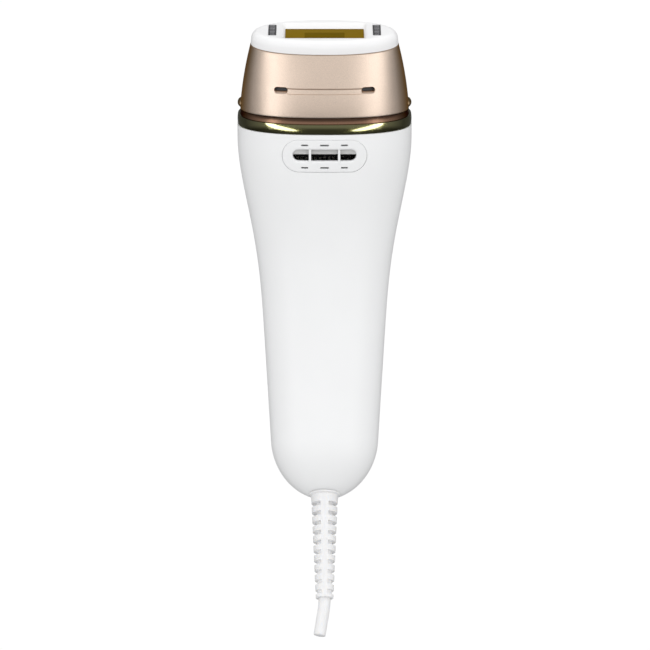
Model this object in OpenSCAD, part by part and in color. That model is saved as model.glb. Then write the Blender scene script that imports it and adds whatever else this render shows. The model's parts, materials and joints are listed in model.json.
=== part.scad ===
// Intense pulsed light hair remover: a corded, curved handle with a clip-on
// treatment head. The frame's origin is the centre of the treatment face, +Z
// runs up along the handle to the head, +X is the width and the air vent is on
// the -Y side. The handle follows a circular spine that starts at the neck
// plane, where the shells end and the metal collar begins. All in millimetres.

/* [Handle] */
// Length of the spine from the neck plane to the tail
handle_l = 146.5; // [142:0.5:150]
// Width of the handle at the neck
neck_w = 66.7; // [65:0.1:69]
// Depth of the handle at the neck
neck_d = 47; // [46:0.5:49]
// Width that the straight grip would have at the neck
grip_w = 57; // [55:0.1:59]
// Depth that the straight grip would have at the neck
grip_d = 38.4; // [37:0.1:40]
// Width the grip loses for each millimetre down the spine
grip_taper_w = 0.126; // [0.1:0.002:0.13]
// Depth the grip loses for each millimetre down the spine
grip_taper_d = 0.04; // [0.02:0.002:0.05]
// Distance down the spine where the swelling towards the neck ends
swell_end = 84; // [80:1:88]
// Length of the rounded tail
tail_l = 22; // [20:0.5:24]
// Wall thickness of the shells
wall = 2; // [1.8:0.1:2.2]
// Gap between the two shells
seam_gap = 0.1; // [0.06:0.02:0.2]

/* [Spine] */
// Lean of the neck plane towards the vent side, in degrees
neck_tilt = 12; // [10:0.5:14]
// Total bend of the handle, in degrees
bend = 26; // [24:0.5:28]

/* [Collar] */
// Height of the metal collar
collar_h = 6; // [5.5:0.1:6]

/* [Head] */
// Height of the treatment face above the neck plane
face_up = 36; // [35.5:0.1:37]
// Lean of the treatment face beyond the neck plane, in degrees
face_lean = 8; // [7:0.5:9]
// Width of the seam between the metallic shell and the white face
seam_w = 56.2; // [55:0.1:57]
// Depth of that seam
seam_d = 28.8; // [28:0.1:30]
// Height of the white face above the seam
bezel_h = 5; // [4.6:0.1:5.4]
// Length of the treatment window
window_l = 29.9; // [29:0.1:31]
// Width of the treatment window
window_w = 14; // [13:0.1:14.4]
// Depth of the window below the face
window_sunk = 1.75; // [1.4:0.05:1.8]

/* [Vent] */
// Distance of the vent down the spine
vent_s = 8.8; // [8.4:0.1:9]
// Length of the vent insert
vent_l = 32.2; // [31:0.1:34]
// Height of the vent insert
vent_h = 12.6; // [12:0.1:12.8]

/* [Controls] */
// Travel of the treatment button
treat_travel = 1; // [0.6:0.1:1.1]
// Travel of the mode button
mode_travel = 0.5; // [0.3:0.1:0.6]

/* [Cord] */
// Diameter of the mains cord
cord_d = 4.6; // [4.2:0.1:4.8]
// Length of the flexible cord guard
boot_l = 41.5; // [38:0.5:44]
// Number of flex notches on each side of the cord guard
boot_notches = 10; // [6:1:10]

/* [Hidden] */

$fn = 48;
loop_steps = 56;
body_steps = 15;
tail_steps = 7;
swell_start = 5;
swell_power = 1.8;
neck_corner = 2.45;
tail_corner = 2.15;
corner_run = 70;
tail_start = handle_l - tail_l;
running = 0.1;

white = "#f4f4f2";
gold = "#c9a58c";
bronze = "#7d7346";
dark = "#2b2b2e";
steel = "#b9bcc0";
board_green = "#2f6b46";
copper = "#b87333";

// ---------- frames ----------
spine_r = handle_l * 180 / (bend * PI);
face_back = 2.5;
face_y = -face_back * cos(neck_tilt) - face_up * sin(neck_tilt);
face_z = -face_back * sin(neck_tilt) + face_up * cos(neck_tilt);

function spine_a(s) = neck_tilt - bend * s / handle_l;
function spine_y(s) = spine_r * (cos(spine_a(s)) - cos(neck_tilt)) - face_y;
function spine_z(s) = spine_r * (sin(spine_a(s)) - sin(neck_tilt)) - face_z;

// Origin on the spine, s down from the neck; +Z along the spine to the head
module on_spine(s) {
    translate([0, spine_y(s), spine_z(s)]) rotate([spine_a(s), 0, 0]) children();
}

// Origin at the centre of the treatment face, +Z along its normal
module on_face() {
    rotate([neck_tilt + face_lean, 0, 0]) children();
}

// Origin at the cord guard's flange, +Z up into the handle
boot_back = 4;
boot_sunk = 1;
boot_lean = 10;
tail_rise = tail_l * (1 - sqrt(1 - pow(boot_back / half_d(tail_start), 2)));
module on_boot() {
    on_spine(handle_l) translate([0, -boot_back, tail_rise]) rotate([-boot_lean, 0, 0])
        translate([0, 0, boot_sunk]) children();
}

// Origin in the middle of the circuit boards, +Y out through the buttons
boards_s = 61;
module on_boards() {
    on_spine(boards_s) children();
}

// ---------- handle profile ----------
function ease(t) = t * t * (3 - 2 * t);
function clamp(t) = min(1, max(0, t));
function swell(s) = ease(pow(clamp((swell_end - s) / (swell_end - swell_start)), swell_power));
function tail(s, length) = sqrt(max(0, 1 - pow(max(0, s - tail_start) / length, 2)));
function mix(a, b, t) = a * (1 - t) + b * t;
function full_w(s) = mix(grip_w - grip_taper_w * s, neck_w, swell(s)) / 2;
function full_d(s) = mix(grip_d - grip_taper_d * s, neck_d, swell(s)) / 2;
function half_w(s) = full_w(s) * tail(s, tail_l);
function half_d(s) = full_d(s) * tail(s, tail_l);
function inner_w(s) = (full_w(s) - wall) * tail(s, tail_l - wall);
function inner_d(s) = (full_d(s) - wall) * tail(s, tail_l - wall);
function corner(s) = mix(neck_corner, tail_corner, clamp(s / corner_run));
function depth_at(s, x) = half_d(s) * pow(1 - pow(abs(x) / half_w(s), corner(s)), 1 / corner(s));

function power(c, n) = sign(c) * pow(abs(c), 2 / n);
function oval_point(a, b, n, t) = [a * power(cos(t), n), b * power(sin(t), n)];
function oval(a, b, n) = [for (i = [0:loop_steps - 1]) oval_point(a, b, n, 360 * i / loop_steps)];
function on_section(s, p) = [p.x, spine_y(s) + p.y * cos(spine_a(s)), spine_z(s) + p.y * sin(spine_a(s))];
function section(s, a, b) = [for (p = oval(a, b, corner(s))) on_section(s, p)];

// Solid through a stack of closed loops with equal counts, from the top loop down
module loft(loops) {
    m = len(loops[0]);
    n = len(loops);
    sides = [for (i = [0:n - 2], j = [0:m - 1]) let (a = i * m, k = (j + 1) % m)
        each [[a + j, a + k, a + m + k], [a + j, a + m + k, a + m + j]]];
    top = [for (j = [m - 1:-1:0]) j];
    bottom = [for (j = [0:m - 1]) (n - 1) * m + j];
    polyhedron([for (loop = loops) each loop], concat([top], sides, [bottom]), convexity = 6);
}

function at_height(loop, z) = [for (p = loop) [p.x, p.y, z]];
function station(i, length) = i <= body_steps ? tail_start * i / body_steps
    : tail_start + length * sin(82 * (i - body_steps) / tail_steps);

module body_solid() {
    loft([for (i = [0:body_steps + tail_steps]) let (s = station(i, tail_l))
        section(s, half_w(s), half_d(s))]);
}

module body_cavity() {
    loft([for (i = [-1:body_steps + tail_steps]) let (s = i < 0 ? -2 : station(i, tail_l - wall))
        section(s, inner_w(s), inner_d(s))]);
}

// Everything on one side of the seam, which follows the spine; side is 1 or -1
module seam_side(side) {
    edge = [for (i = [-1:24]) let (s = handle_l * i / 22)
        [spine_y(s) + side * seam_gap / 2, spine_z(s)]];
    far = edge[0].x + side * 60;
    rotate([90, 0, 90]) linear_extrude(100, center = true)
        polygon(concat(edge, [[far, edge[25].y], [far, edge[0].y]]));
}

module half_shell(side) {
    difference() {
        intersection() {
            body_solid();
            seam_side(side);
        }
        body_cavity();
    }
}

// Piece of the whole body between two stations, drawn in by inset
module body_slice(from, to, inset, steps = 6) {
    loft([for (i = [0:steps]) let (s = mix(from, to, i / steps))
        section(s, half_w(s) - inset, half_d(s) - inset)]);
}

module stadium(l, h) {
    r = min(l, h) / 2;
    for (k = l == h ? [0] : [-1, 1])
        translate(l > h ? [k * (l / 2 - r), 0] : [0, k * (h / 2 - r)]) circle(r);
    if (l != h) square([l > h ? l - h : l, l > h ? h : h - l], center = true);
}

// Upright prism from z0 to z1 on an oval outline
module oval_prism(a, b, n, z0, z1) {
    translate([0, 0, z0]) linear_extrude(z1 - z0) polygon(oval(a, b, n));
}

// Box from its lowest to its highest corner
module block(low, high) {
    translate(low) cube(high - low);
}

// Rods with round joints through a list of points
module wire(points, r) {
    for (i = [0:len(points) - 2]) let (a = points[i], d = points[i + 1] - a, l = norm(d))
        translate(a) rotate([0, acos(d.z / l), atan2(d.y, d.x)]) {
            cylinder(r = r, h = l, $fn = 16);
            sphere(r = r * 1.1, $fn = 16);
        }
}

// Cylinder along +Y from y0 to y1
module rod_y(r, y0, y1) {
    translate([0, y0, 0]) rotate([-90, 0, 0]) cylinder(r = r, h = y1 - y0);
}

// Pan head screw pointing down -Z, its head resting on z = 0
module screw(r, length, head_r, head_h) {
    translate([0, 0, -length]) cylinder(r = r, h = length);
    difference() {
        cylinder(r = head_r, h = head_h);
        for (a = [0, 90]) rotate(a) translate([-head_r * 0.6, -0.2, head_h * 0.5])
            cube([head_r * 1.2, 0.4, head_h]);
    }
}

// ---------- shells ----------
neck_boss_x = 26;
neck_boss_y = 5;
neck_boss_r = 2.5;
neck_boss_top = 0.25;
neck_boss_h = 14;
boot_hole_r = 4.1;
boot_flange_r = 6.05;
clamp_low = 8;
clamp_high = 13;
clamp_z = (clamp_low + clamp_high) / 2;
clamp_half_l = 7.5;
clamp_back = 4.2;
clamp_screw_x = 5.4;
ear_x = 20.5;
ear_z = 20;
ear_back = -9;

module neck_bosses(side) {
    on_spine(0) for (k = [-1, 1]) {
        translate([k * neck_boss_x, side * neck_boss_y, neck_boss_top - neck_boss_h])
            cylinder(r = neck_boss_r, h = neck_boss_h);
        translate([k * (neck_boss_x + 3.2) - 2.6, side * neck_boss_y - 0.8, -13.6]) cube([5.2, 1.6, 12.6]);
    }
}

module neck_pilots() {
    on_spine(0) for (k = [-1, 1], j = [-1, 1])
        translate([k * neck_boss_x, j * neck_boss_y, -11.5]) cylinder(r = 1.1, h = 20);
}

module boot_cut() {
    on_boot() {
        translate([0, 0, -4]) cylinder(r = boot_hole_r, h = 8);
        translate([0, 0, -8]) cylinder(r = boot_flange_r + running, h = 8.05);
    }
}

module front_shell() color(white) difference() {
    union() {
        half_shell(1);
        neck_bosses(1);
    }
    neck_pilots();
    boot_cut();
    front_prism(treat_l + 2 * trim_w, treat_h + 2 * trim_w, treat_z);
    front_prism(mode_d + 2 * running, mode_d + 2 * running, mode_z);
    front_prism(lens_l, lens_h, lens_z);
    on_spine(vent_s) for (k = [-2:2]) translate([k * 4.4 - 1.4, 10, -0.5]) cube([2.8, 20, 1]);
}

module rear_shell() color(white) difference() {
    union() {
        half_shell(-1);
        neck_bosses(-1);
        on_boards() for (k = [-1, 1]) translate([k * ear_x, 0, ear_z])
            rod_y(3, -depth_at(boards_s - ear_z, ear_x) + 1.4, ear_back - running);
        intersection() {
            on_boot() block([-clamp_half_l, -16, clamp_low], [clamp_half_l, -running / 2, clamp_high]);
            body_slice(122, 144, 0.8);
        }
    }
    neck_pilots();
    boot_cut();
    on_boot() cylinder(r = cord_d / 2 + running, h = 20);
    on_boot() for (k = [-1, 1]) translate([k * clamp_screw_x, 0, clamp_z]) rod_y(1.05, -7, 1);
    on_boards() for (k = [-1, 1]) translate([k * ear_x, 0, ear_z]) rod_y(1.05, -14, 0);
    vent_prism(vent_l, vent_h);
}

// ---------- collar, neck and vent ----------
module collar_ring() color(bronze) on_spine(0) difference() {
    union() {
        loft([at_height(oval(32, 22.1, neck_corner), collar_h),
            at_height(oval(32.9, 23, neck_corner), collar_h - 2.2),
            at_height(oval(neck_w / 2 - 0.04, neck_d / 2 - 0.04, neck_corner), collar_h - 3.2),
            at_height(oval(neck_w / 2 - 0.04, neck_d / 2 - 0.04, neck_corner), 0.05)]);
        oval_prism(31.1, 21.1, neck_corner, -0.8, 1);
    }
    oval_prism(30.3, 20.3, neck_corner, 1, collar_h + 1);
    oval_prism(29.3, 19.3, neck_corner, -2, 2);
}

tray_l = 45;
tray_d = 21;
lamp_z = -41.5;
deck_top = 2.6;
deck_seat = 1.3;

module neck_deck() color(dark) difference() {
    on_spine(0) {
        oval_prism(30.1, 20.1, neck_corner, 1.1, deck_top);
        oval_prism(29.1, 19.1, neck_corner, 0.3, 1.2);
    }
    on_face() translate([0, 0, -34]) cube([tray_l + 0.6, tray_d + 0.6, 12], center = true);
    on_spine(0) for (k = [-1, 1], j = [-1, 1]) translate([k * neck_boss_x, j * neck_boss_y, 0]) {
        cylinder(r = 1.25, h = 5);
        translate([0, 0, deck_seat]) cylinder(r = 2.2, h = 5);
    }
}

module deck_screws() color(steel) on_spine(0) for (k = [-1, 1], j = [-1, 1])
    translate([k * neck_boss_x, j * neck_boss_y, deck_seat]) screw(1.05, 10, 2, 1.2);

module vent_prism(l, h, z = 0) {
    on_spine(vent_s) translate([0, -8, z]) rotate([90, 0, 0]) linear_extrude(30) stadium(l, h);
}

vent_open_l = 24;
vent_open_h = 4.3;
vent_open_z = 0.3;
vent_rib_x = 5.5;
slit_pitch = 7.5;
slit_z = 4.3;

module vent_grille() color(white) difference() {
    union() {
        intersection() {
            vent_prism(vent_l - running, vent_h - running);
            difference() {
                body_slice(0.2, 17, 0);
                body_slice(-1, 18, 4.6);
            }
        }
        intersection() {
            vent_prism(vent_l + 1.8, vent_h + 1.7);
            difference() {
                body_slice(0.2, 17, wall + 0.1);
                body_slice(-1, 18, wall + 1.1);
            }
        }
    }
    difference() {
        vent_prism(vent_open_l, vent_open_h, vent_open_z);
        on_spine(vent_s) for (x = [-vent_rib_x, vent_rib_x])
            block([x - 0.5, -depth_at(vent_s, x) + 0.2, -4], [x + 0.5, 0, 4]);
    }
    on_spine(vent_s) for (x = [-1, 0, 1] * slit_pitch, k = [-1, 1]) let (half = x == 0 ? 1.7 : 1.35)
        block([x - half, -30, k * slit_z - 0.3], [x + half, 0, k * slit_z + 0.3]);
}

module vent_mesh() color(dark) on_spine(vent_s) translate([0, -16.1, 0]) difference() {
    rotate([90, 0, 0]) linear_extrude(0.6) stadium(vent_l - 3, vent_h - 1);
    for (i = [-7:7], j = [-2:2]) translate([i * 1.7, -1, j * 1.9]) cube([1, 3, 1.2], center = true);
}

// ---------- controls on the front shell ----------
treat_l = 16;
treat_h = 24;
treat_z = 12;
trim_w = 2;
mode_d = 8;
mode_z = -18;
lens_l = 14;
lens_h = 2.6;
lens_z = -8;
board_out = 7.65;
switch_top = 11.2;
plunger_top = 12.5;
plunger_foot = switch_top - 1.4;

module front_prism(l, h, z) {
    on_boards() translate([0, 9, z]) rotate([-90, 0, 0]) linear_extrude(20) stadium(l, h);
}

// Plug in the front shell whose face follows the shell, standing proud of it
module front_plug(l, h, z, proud, thick) {
    intersection() {
        front_prism(l, h, z);
        difference() {
            body_slice(boards_s - z - h / 2 - 3, boards_s - z + h / 2 + 3, -proud);
            body_slice(boards_s - z - h / 2 - 4, boards_s - z + h / 2 + 4, thick);
        }
    }
}

module stem(r, y0, s, z) {
    on_boards() translate([0, 0, z]) rod_y(r, y0, half_d(s) - 3.2);
}

module treatment_button() color(white) {
    front_plug(treat_l, treat_h, treat_z, 0.9, 3.6);
    stem(2.6, plunger_top, boards_s - treat_z, treat_z);
}

module button_trim() color(gold) difference() {
    front_plug(treat_l + 2 * trim_w - running, treat_h + 2 * trim_w - running, treat_z, 0.35, 2);
    front_prism(treat_l + 2 * running, treat_h + 2 * running, treat_z);
}

module mode_button() color(white) {
    front_plug(mode_d, mode_d, mode_z, 0.6, 3.4);
    stem(1.6, plunger_top, boards_s - mode_z, mode_z);
}

module indicator_lens() color("#dfe6ea") {
    front_plug(lens_l - running, lens_h - running, lens_z, 0, 3);
    on_boards() translate([0, 0, lens_z]) block([-6, 9.2, -0.9], [6, half_d(boards_s - lens_z) - 2.7, 0.9]);
}

module plunger(r, z) {
    on_boards() translate([0, 0, z]) rod_y(r, plunger_foot, plunger_top - 0.02);
}

module treatment_plunger() color(dark) plunger(1.5, treat_z);

module mode_plunger() color(dark) plunger(1.2, mode_z);

// Tact switch on the board, open at the top for its plunger
module tact_switch(size, r, z, travel) {
    on_boards() translate([0, 0, z]) difference() {
        block([-size / 2, board_out + 0.05, -size / 2], [size / 2, switch_top, size / 2]);
        rod_y(r + 0.06, plunger_foot - travel - 0.2, switch_top + 1);
    }
}

module treatment_switch() color(dark) tact_switch(6, 1.5, treat_z, treat_travel);

module mode_switch() color(dark) tact_switch(5, 1.2, mode_z, mode_travel);

// ---------- cord ----------
cord_in = 16;
cord_bend_r = 30;
cord_bend = 9;
cord_end = 9.8;
notch_first = 4.85;
notch_pitch = 3.83;
notch_h = 1.5;
boot_r = 5.2;
boot_tip_r = 3.35;
boot_grip_up = 3.4;
boot_flange_h = 0.7;

module cord_boot() color(white) on_boot() difference() {
    rotate_extrude() polygon([[0, boot_grip_up + 1.5], [boot_r, boot_grip_up + 1.5],
        [boot_r, boot_grip_up], [boot_hole_r - 0.2, boot_grip_up], [boot_hole_r - 0.2, 0],
        [boot_flange_r, 0], [boot_flange_r, -boot_flange_h], [boot_r, -boot_flange_h],
        [boot_tip_r, -boot_l], [0, -boot_l]]);
    translate([0, 0, -boot_l - 1]) cylinder(r = cord_d / 2 + 0.05, h = boot_l + 10);
    for (i = [0:boot_notches - 1]) let (t = i / boot_notches, rib = mix(1.75, 1.2, t))
        translate([0, 0, -notch_first - notch_pitch * i - notch_h / 2]) difference() {
            cylinder(r = boot_r + 2, h = notch_h);
            translate([0, 0, -1]) cylinder(r = mix(3.2, 2.75, t), h = notch_h + 2);
            translate([-rib, -8, -1]) cube([2 * rib, 16, notch_h + 2]);
        }
}

module power_cord() color(white) on_boot() {
    r = cord_d / 2;
    translate([0, 0, -boot_l]) cylinder(r = r, h = boot_l + cord_in);
    translate([-cord_bend_r, 0, -boot_l]) rotate([-90, 0, 0])
        rotate_extrude(angle = cord_bend) translate([cord_bend_r, 0]) circle(r);
    translate([-cord_bend_r, 0, -boot_l]) rotate([0, cord_bend, 0])
        translate([cord_bend_r, 0, -cord_end]) cylinder(r = r, h = cord_end);
}

module cord_clamp() color(dark) on_boot() difference() {
    block([-clamp_half_l, running / 2, clamp_low], [clamp_half_l, clamp_back, clamp_high]);
    cylinder(r = cord_d / 2 + 0.02, h = 30);
    for (k = [-1, 1]) translate([k * clamp_screw_x, 0, clamp_z]) rod_y(1.15, -1, 6);
}

module clamp_screws() color(steel) on_boot() for (k = [-1, 1])
    translate([k * clamp_screw_x, clamp_back + 0.05, clamp_z]) rotate([-90, 0, 0]) screw(1, 9, 1.9, 1.2);

// Point given as x, y on the section at distance s down the spine
function spot(s, x, y) = on_section(s, [x, y]);

module mains_leads() color("#6b4a2b") for (k = [-1, 1])
    wire([spot(128.4, k * 1.2, 0.4), spot(127.2, k * 15.5, 0), spot(109, k * 16.4, 0),
        spot(92, k * 17.4, 0), spot(88.2, k * 17.2, -6.3), spot(87, k * 9, -6.8),
        spot(85.2, k * 7, -6.9)], 0.6);

// ---------- neck contacts ----------
contact_y = -14.5;
contact_pitch = 3;
contact_x = [-1.5, -0.5, 0.5, 1.5] * contact_pitch;

module contact_block() color(dark) on_spine(0) difference() {
    block([-7, contact_y - 2, deck_top + 0.05], [7, contact_y + 2, 4.6]);
    for (x = contact_x) translate([x, contact_y, 0]) cylinder(r = 0.66, h = 9, $fn = 24);
}

module contact_plungers() color(gold) on_spine(0) for (x = contact_x) translate([x, contact_y, 0]) {
    translate([0, 0, 3.3]) cylinder(r = 0.6, h = 2.4, $fn = 24);
    translate([0, 0, 5.7]) cylinder(r1 = 0.6, r2 = 0.3, h = 0.3, $fn = 24);
}

module latch_springs() color(steel) on_spine(0) for (k = [-1, 1]) {
    block([k * 26 - 1.7, -2.4, deck_top + 0.02], [k * 26 + 1.7, 2.4, deck_top + 0.45]);
    block([k * 27.45 - 0.25, -2.4, deck_top + 0.1], [k * 27.45 + 0.25, 2.4, 5.7]);
}

// ---------- lamp ----------
post_x = 20.2;
post_y = 8.2;

module lamp_tray() color("#d8d4c8") on_face() difference() {
    union() {
        difference() {
            block([-tray_l / 2, -tray_d / 2, -50], [tray_l / 2, tray_d / 2, -37.05]);
            block([-21, -9, -48.5], [21, 9, -30]);
        }
        for (k = [-1, 1], j = [-1, 1]) translate([k * post_x, j * post_y, -49]) cylinder(r = 2, h = 11.95);
    }
    for (k = [-1, 1], j = [-1, 1]) translate([k * post_x, j * post_y, -45]) cylinder(r = 0.85, h = 15);
    for (i = [-3:3]) translate([i * 5, 0, -44]) cube([2.2, 40, 6], center = true);
    translate([-40, 0, lamp_z]) rotate([0, 90, 0]) cylinder(r = 1.2, h = 80);
}

module lamp_cover() color("#d8d4c8") on_face() difference() {
    block([-tray_l / 2, -tray_d / 2, -37], [tray_l / 2, tray_d / 2, -33]);
    block([-15.7, -7.45, -35.3], [15.7, 7.45, -30]);
    block([-14.25, -6, -40], [14.25, 6, -30]);
    for (k = [-1, 1], j = [-1, 1]) translate([k * post_x, j * post_y, -40]) cylinder(r = 0.95, h = 10);
}

module lamp_screws() color(steel) on_face() for (k = [-1, 1], j = [-1, 1])
    translate([k * post_x, j * post_y, -32.95]) screw(0.8, 9, 1.5, 0.9);

module lamp_window() color("#e8e4da") on_face() block([-15.5, -7.25, -34.7], [15.5, 7.25, -33.2]);

module window_seal() color(dark) on_face() difference() {
    block([-15.5, -7.25, -35.25], [15.5, 7.25, -34.75]);
    block([-14.35, -6.1, -36], [14.35, 6.1, -34]);
}

module reflector() color(steel) on_face() difference() {
    union() {
        translate([-15.6, 0, lamp_z]) rotate([0, 90, 0]) cylinder(r = 6.8, h = 31.2);
        block([-15.6, -6.8, lamp_z], [15.6, 6.8, -37.6]);
    }
    translate([-15, 0, lamp_z]) rotate([0, 90, 0]) cylinder(r = 6.2, h = 30);
    block([-15, -6.2, lamp_z], [15, 6.2, -30]);
    block([-20, -9, -37.6], [20, 9, -30]);
    translate([-20, 0, lamp_z]) rotate([0, 90, 0]) cylinder(r = 2.8, h = 40);
}

module flash_lamp() color("#dfe9ee") on_face() translate([-18, 0, lamp_z]) rotate([0, 90, 0]) difference() {
    cylinder(r = 2.5, h = 36);
    translate([0, 0, -1]) cylinder(r = 1.8, h = 38);
}

module lamp_electrodes() color(steel) on_face() for (k = [0, 180]) rotate([0, 0, k])
    translate([14.5, 0, lamp_z]) rotate([0, 90, 0]) {
        cylinder(r = 1.72, h = 3.4);
        cylinder(r = 0.55, h = 6);
    }

module lamp_holders() color("#ece9e0") on_face() for (k = [-1, 1]) difference() {
    block([k * 17.2 - 0.95, -5.6, -48.4], [k * 17.2 + 0.95, 5.6, -38]);
    translate([-40, 0, lamp_z]) rotate([0, 90, 0]) cylinder(r = 2.58, h = 80);
}

function face_spot(x, z) = [x, -z * sin(neck_tilt + face_lean), z * cos(neck_tilt + face_lean)];

module lamp_leads() color("#8a1f1f") for (k = [-1, 1])
    wire([face_spot(k * 21.7, lamp_z - 0.2), face_spot(k * 23.2, lamp_z - 0.1), spot(9.5, k * 23.4, 0),
        spot(18.5, k * 24, -5), spot(30, k * 21.5, -11), spot(36.3, k * 17.4, -11.3),
        spot(39.4, k * 6.5, -8.3)], 0.6);

// ---------- cooling ----------
fan_s = 34;
fan_size = 30;
fan_h = 10;

module on_fan() {
    on_spine(fan_s) translate([0, 0, 0.1]) children();
}

module fan_frame() color(dark) on_fan() {
    difference() {
        translate([-fan_size / 2, -fan_size / 2, 0]) cube([fan_size, fan_size, fan_h]);
        translate([0, 0, -1]) cylinder(r = 13.9, h = fan_h + 2);
        for (k = [-1, 1], j = [-1, 1]) translate([k * 12.6, j * 12.6, -1]) cylinder(r = 1.3, h = fan_h + 2);
    }
    difference() {
        union() {
            cylinder(r = 6, h = 1.4);
            cylinder(r = 2.3, h = 5.6);
            for (a = [45:90:315]) rotate(a) translate([0, -0.8, 0]) cube([15, 1.6, 1.4]);
        }
        translate([0, 0, -1]) cylinder(r = 1.65, h = 12);
    }
}

module fan_bearing() color(copper) on_fan() translate([0, 0, 0.6]) difference() {
    cylinder(r = 1.6, h = 4.8);
    translate([0, 0, -1]) cylinder(r = 0.8, h = 8);
}

module fan_stator() color(copper) on_fan() translate([0, 0, 1.8]) difference() {
    union() {
        cylinder(r = 3.6, h = 2.8);
        for (a = [0:90:270]) rotate(a) {
            block([2.5, -0.9, 0.3], [5, 0.9, 2.5]);
            block([4.4, -2, 0], [5.2, 2, 2.8]);
        }
    }
    translate([0, 0, -1]) cylinder(r = 2.36, h = 6);
}

module fan_axle() color(steel) on_fan() translate([0, 0, 0.8]) cylinder(r = 0.76, h = 7.4);

module fan_impeller() color("#3a3d42") on_fan() {
    difference() {
        translate([0, 0, 2]) cylinder(r = 6.6, h = 6.6);
        translate([0, 0, 1]) cylinder(r = 5.9, h = 6.2);
        cylinder(r = 0.77, h = 12);
    }
    for (a = [0:360 / 7:359]) rotate(a) translate([9.85, 0, 5.3]) rotate([38, 0, 0])
        cube([6.7, 0.7, 6.4], center = true);
}

module air_duct() color("#d9d9d6") on_fan() translate([0, 0, fan_h + 0.1]) difference() {
    hull() {
        block([-15, -15, 0], [15, 15, 0.8]);
        block([-19, -10, 5], [19, 10, 6]);
    }
    hull() {
        block([-13.9, -13.9, -0.1], [13.9, 13.9, 0.8]);
        block([-18, -9, 5], [18, 9, 6.1]);
    }
}

module trigger_coil() color(copper) on_fan() translate([21.6, 0, 0]) {
    cylinder(r = 4.4, h = 1);
    cylinder(r = 3.6, h = 11);
    translate([0, 0, 10]) cylinder(r = 4.4, h = 1);
}

// ---------- chassis and electronics ----------
board_l = 46;
board_w = 28;
post_pitch_x = 11;
post_pitch_z = 19;
cap_s = 108;
cap_r = 12;
cap_l = 35;

module each_post() {
    for (k = [-1, 1], j = [-1, 1]) translate([k * post_pitch_x, 0, j * post_pitch_z]) children();
}

module chassis() color("#3d4045") difference() {
    union() {
        on_spine(fan_s) {
            block([-15.5, -15, -1.6], [15.5, 15, 0]);
            block([15, -5, -1.6], [26.2, 5, 0]);
        }
        on_boards() {
            for (k = [-1, 1]) {
                block([k * 15.75 - 0.75, -7.5, -24], [k * 15.75 + 0.75, 7.5, 26.6]);
                block([k * 18 - 2.6, ear_back, ear_z - 2.5], [k * 18 + 2.6, -6.5, ear_z + 2.5]);
                translate([k * ear_x, 0, ear_z]) rod_y(2.9, ear_back, -6.5);
            }
            block([-15.5, -1.5, -24], [15.5, 1.5, -21.8]);
            each_post() rod_y(2.4, -6, 6);
            for (k = [-1, 1], j = [-1, 1]) translate([k * 13.6, 0, j * post_pitch_z])
                cube([3.4, 3, 3], center = true);
        }
        on_spine(cap_s) {
            for (k = [-1, 1]) {
                block([k * 14.2 - 1.9, -5, 15], [k * 14.2 + 1.9, 5, 23.5]);
                block([k * 13.1 - 0.8, -5, -17], [k * 13.1 + 0.8, 5, 17]);
            }
            difference() {
                translate([0, 0, -17]) cylinder(r = cap_r + 1.4, h = 34);
                translate([0, 0, -20]) cylinder(r = cap_r + 0.15, h = 40);
                block([-20, -4, -20], [20, 20, 20]);
            }
        }
    }
    on_spine(fan_s) translate([0, 0, -3]) cylinder(r = 13.6, h = 6);
    on_boards() {
        each_post() rod_y(0.95, -7, 7);
        for (k = [-1, 1]) translate([k * ear_x, 0, ear_z]) rod_y(1.2, -12, 0);
    }
}

module chassis_screws() color(steel) on_boards() for (k = [-1, 1])
    translate([k * ear_x, -6.45, ear_z]) rotate([-90, 0, 0]) screw(1, 7, 1.9, 1.2);

module main_capacitor() color("#23324f") on_spine(cap_s) {
    translate([0, 0, -cap_l / 2]) rotate_extrude() polygon([[0, 0], [cap_r - 1, 0], [cap_r, 1],
        [cap_r, cap_l - 5], [cap_r - 0.8, cap_l - 4.2], [cap_r, cap_l - 3.4], [cap_r, cap_l - 0.8],
        [cap_r - 0.8, cap_l], [0, cap_l]]);
    for (k = [-1, 1]) translate([k * 5, 0, cap_l / 2 - 0.1]) cylinder(r = 0.8, h = 3.4);
}

module circuit_board(y0) {
    on_boards() difference() {
        block([-board_w / 2, y0, -board_l / 2], [board_w / 2, y0 + 1.6, board_l / 2]);
        each_post() rod_y(1.1, y0 - 1, y0 + 3);
    }
}

module power_board() color(board_green) circuit_board(-7.65);

module control_board() color(board_green) circuit_board(6.05);

module board_screws() color(steel) on_boards() each_post() for (k = [-1, 1])
    rotate([k > 0 ? 0 : 180, 0, 0]) translate([0, 7.7, 0]) rotate([-90, 0, 0]) screw(0.9, 5, 1.8, 1.1);

module power_transformer() color("#c8a24a") on_boards() {
    block([-7, -6, 2], [7, -4.6, 14]);
    block([-5, -4.6, 2], [5, 2.6, 14]);
    block([-7, 2.6, 2], [7, 4, 14]);
    difference() {
        block([-6.4, -4.5, 4], [6.4, 2.5, 12]);
        block([-4.9, -4.6, 1], [4.9, 2.7, 15]);
    }
}

module power_parts() color("#30333a") on_boards() {
    for (x = [-9, -3, 3, 9]) translate([x, 0, -10]) rod_y(2.6, -6, 3);
    for (x = [-6, 6]) block([x - 2.5, -6, -4.6], [x + 2.5, -1.5, -1]);
    block([-7, -6, -19.5], [7, -1.8, -15]);
}

module heat_sink() color(steel) on_boards() {
    block([-9, -9.2, -12], [9, -7.7, 8]);
    for (i = [-4:4]) block([i * 2.1 - 0.4, -12.4, -12], [i * 2.1 + 0.4, -9.2, 8]);
}

module control_chips() color("#1d1e22") on_boards() {
    block([-5, 4.6, 1], [5, 6, 11]);
    block([-8, 4.8, -13], [-3, 6, -7]);
    block([3, 4.4, -12], [9, 6, -8]);
}

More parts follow.
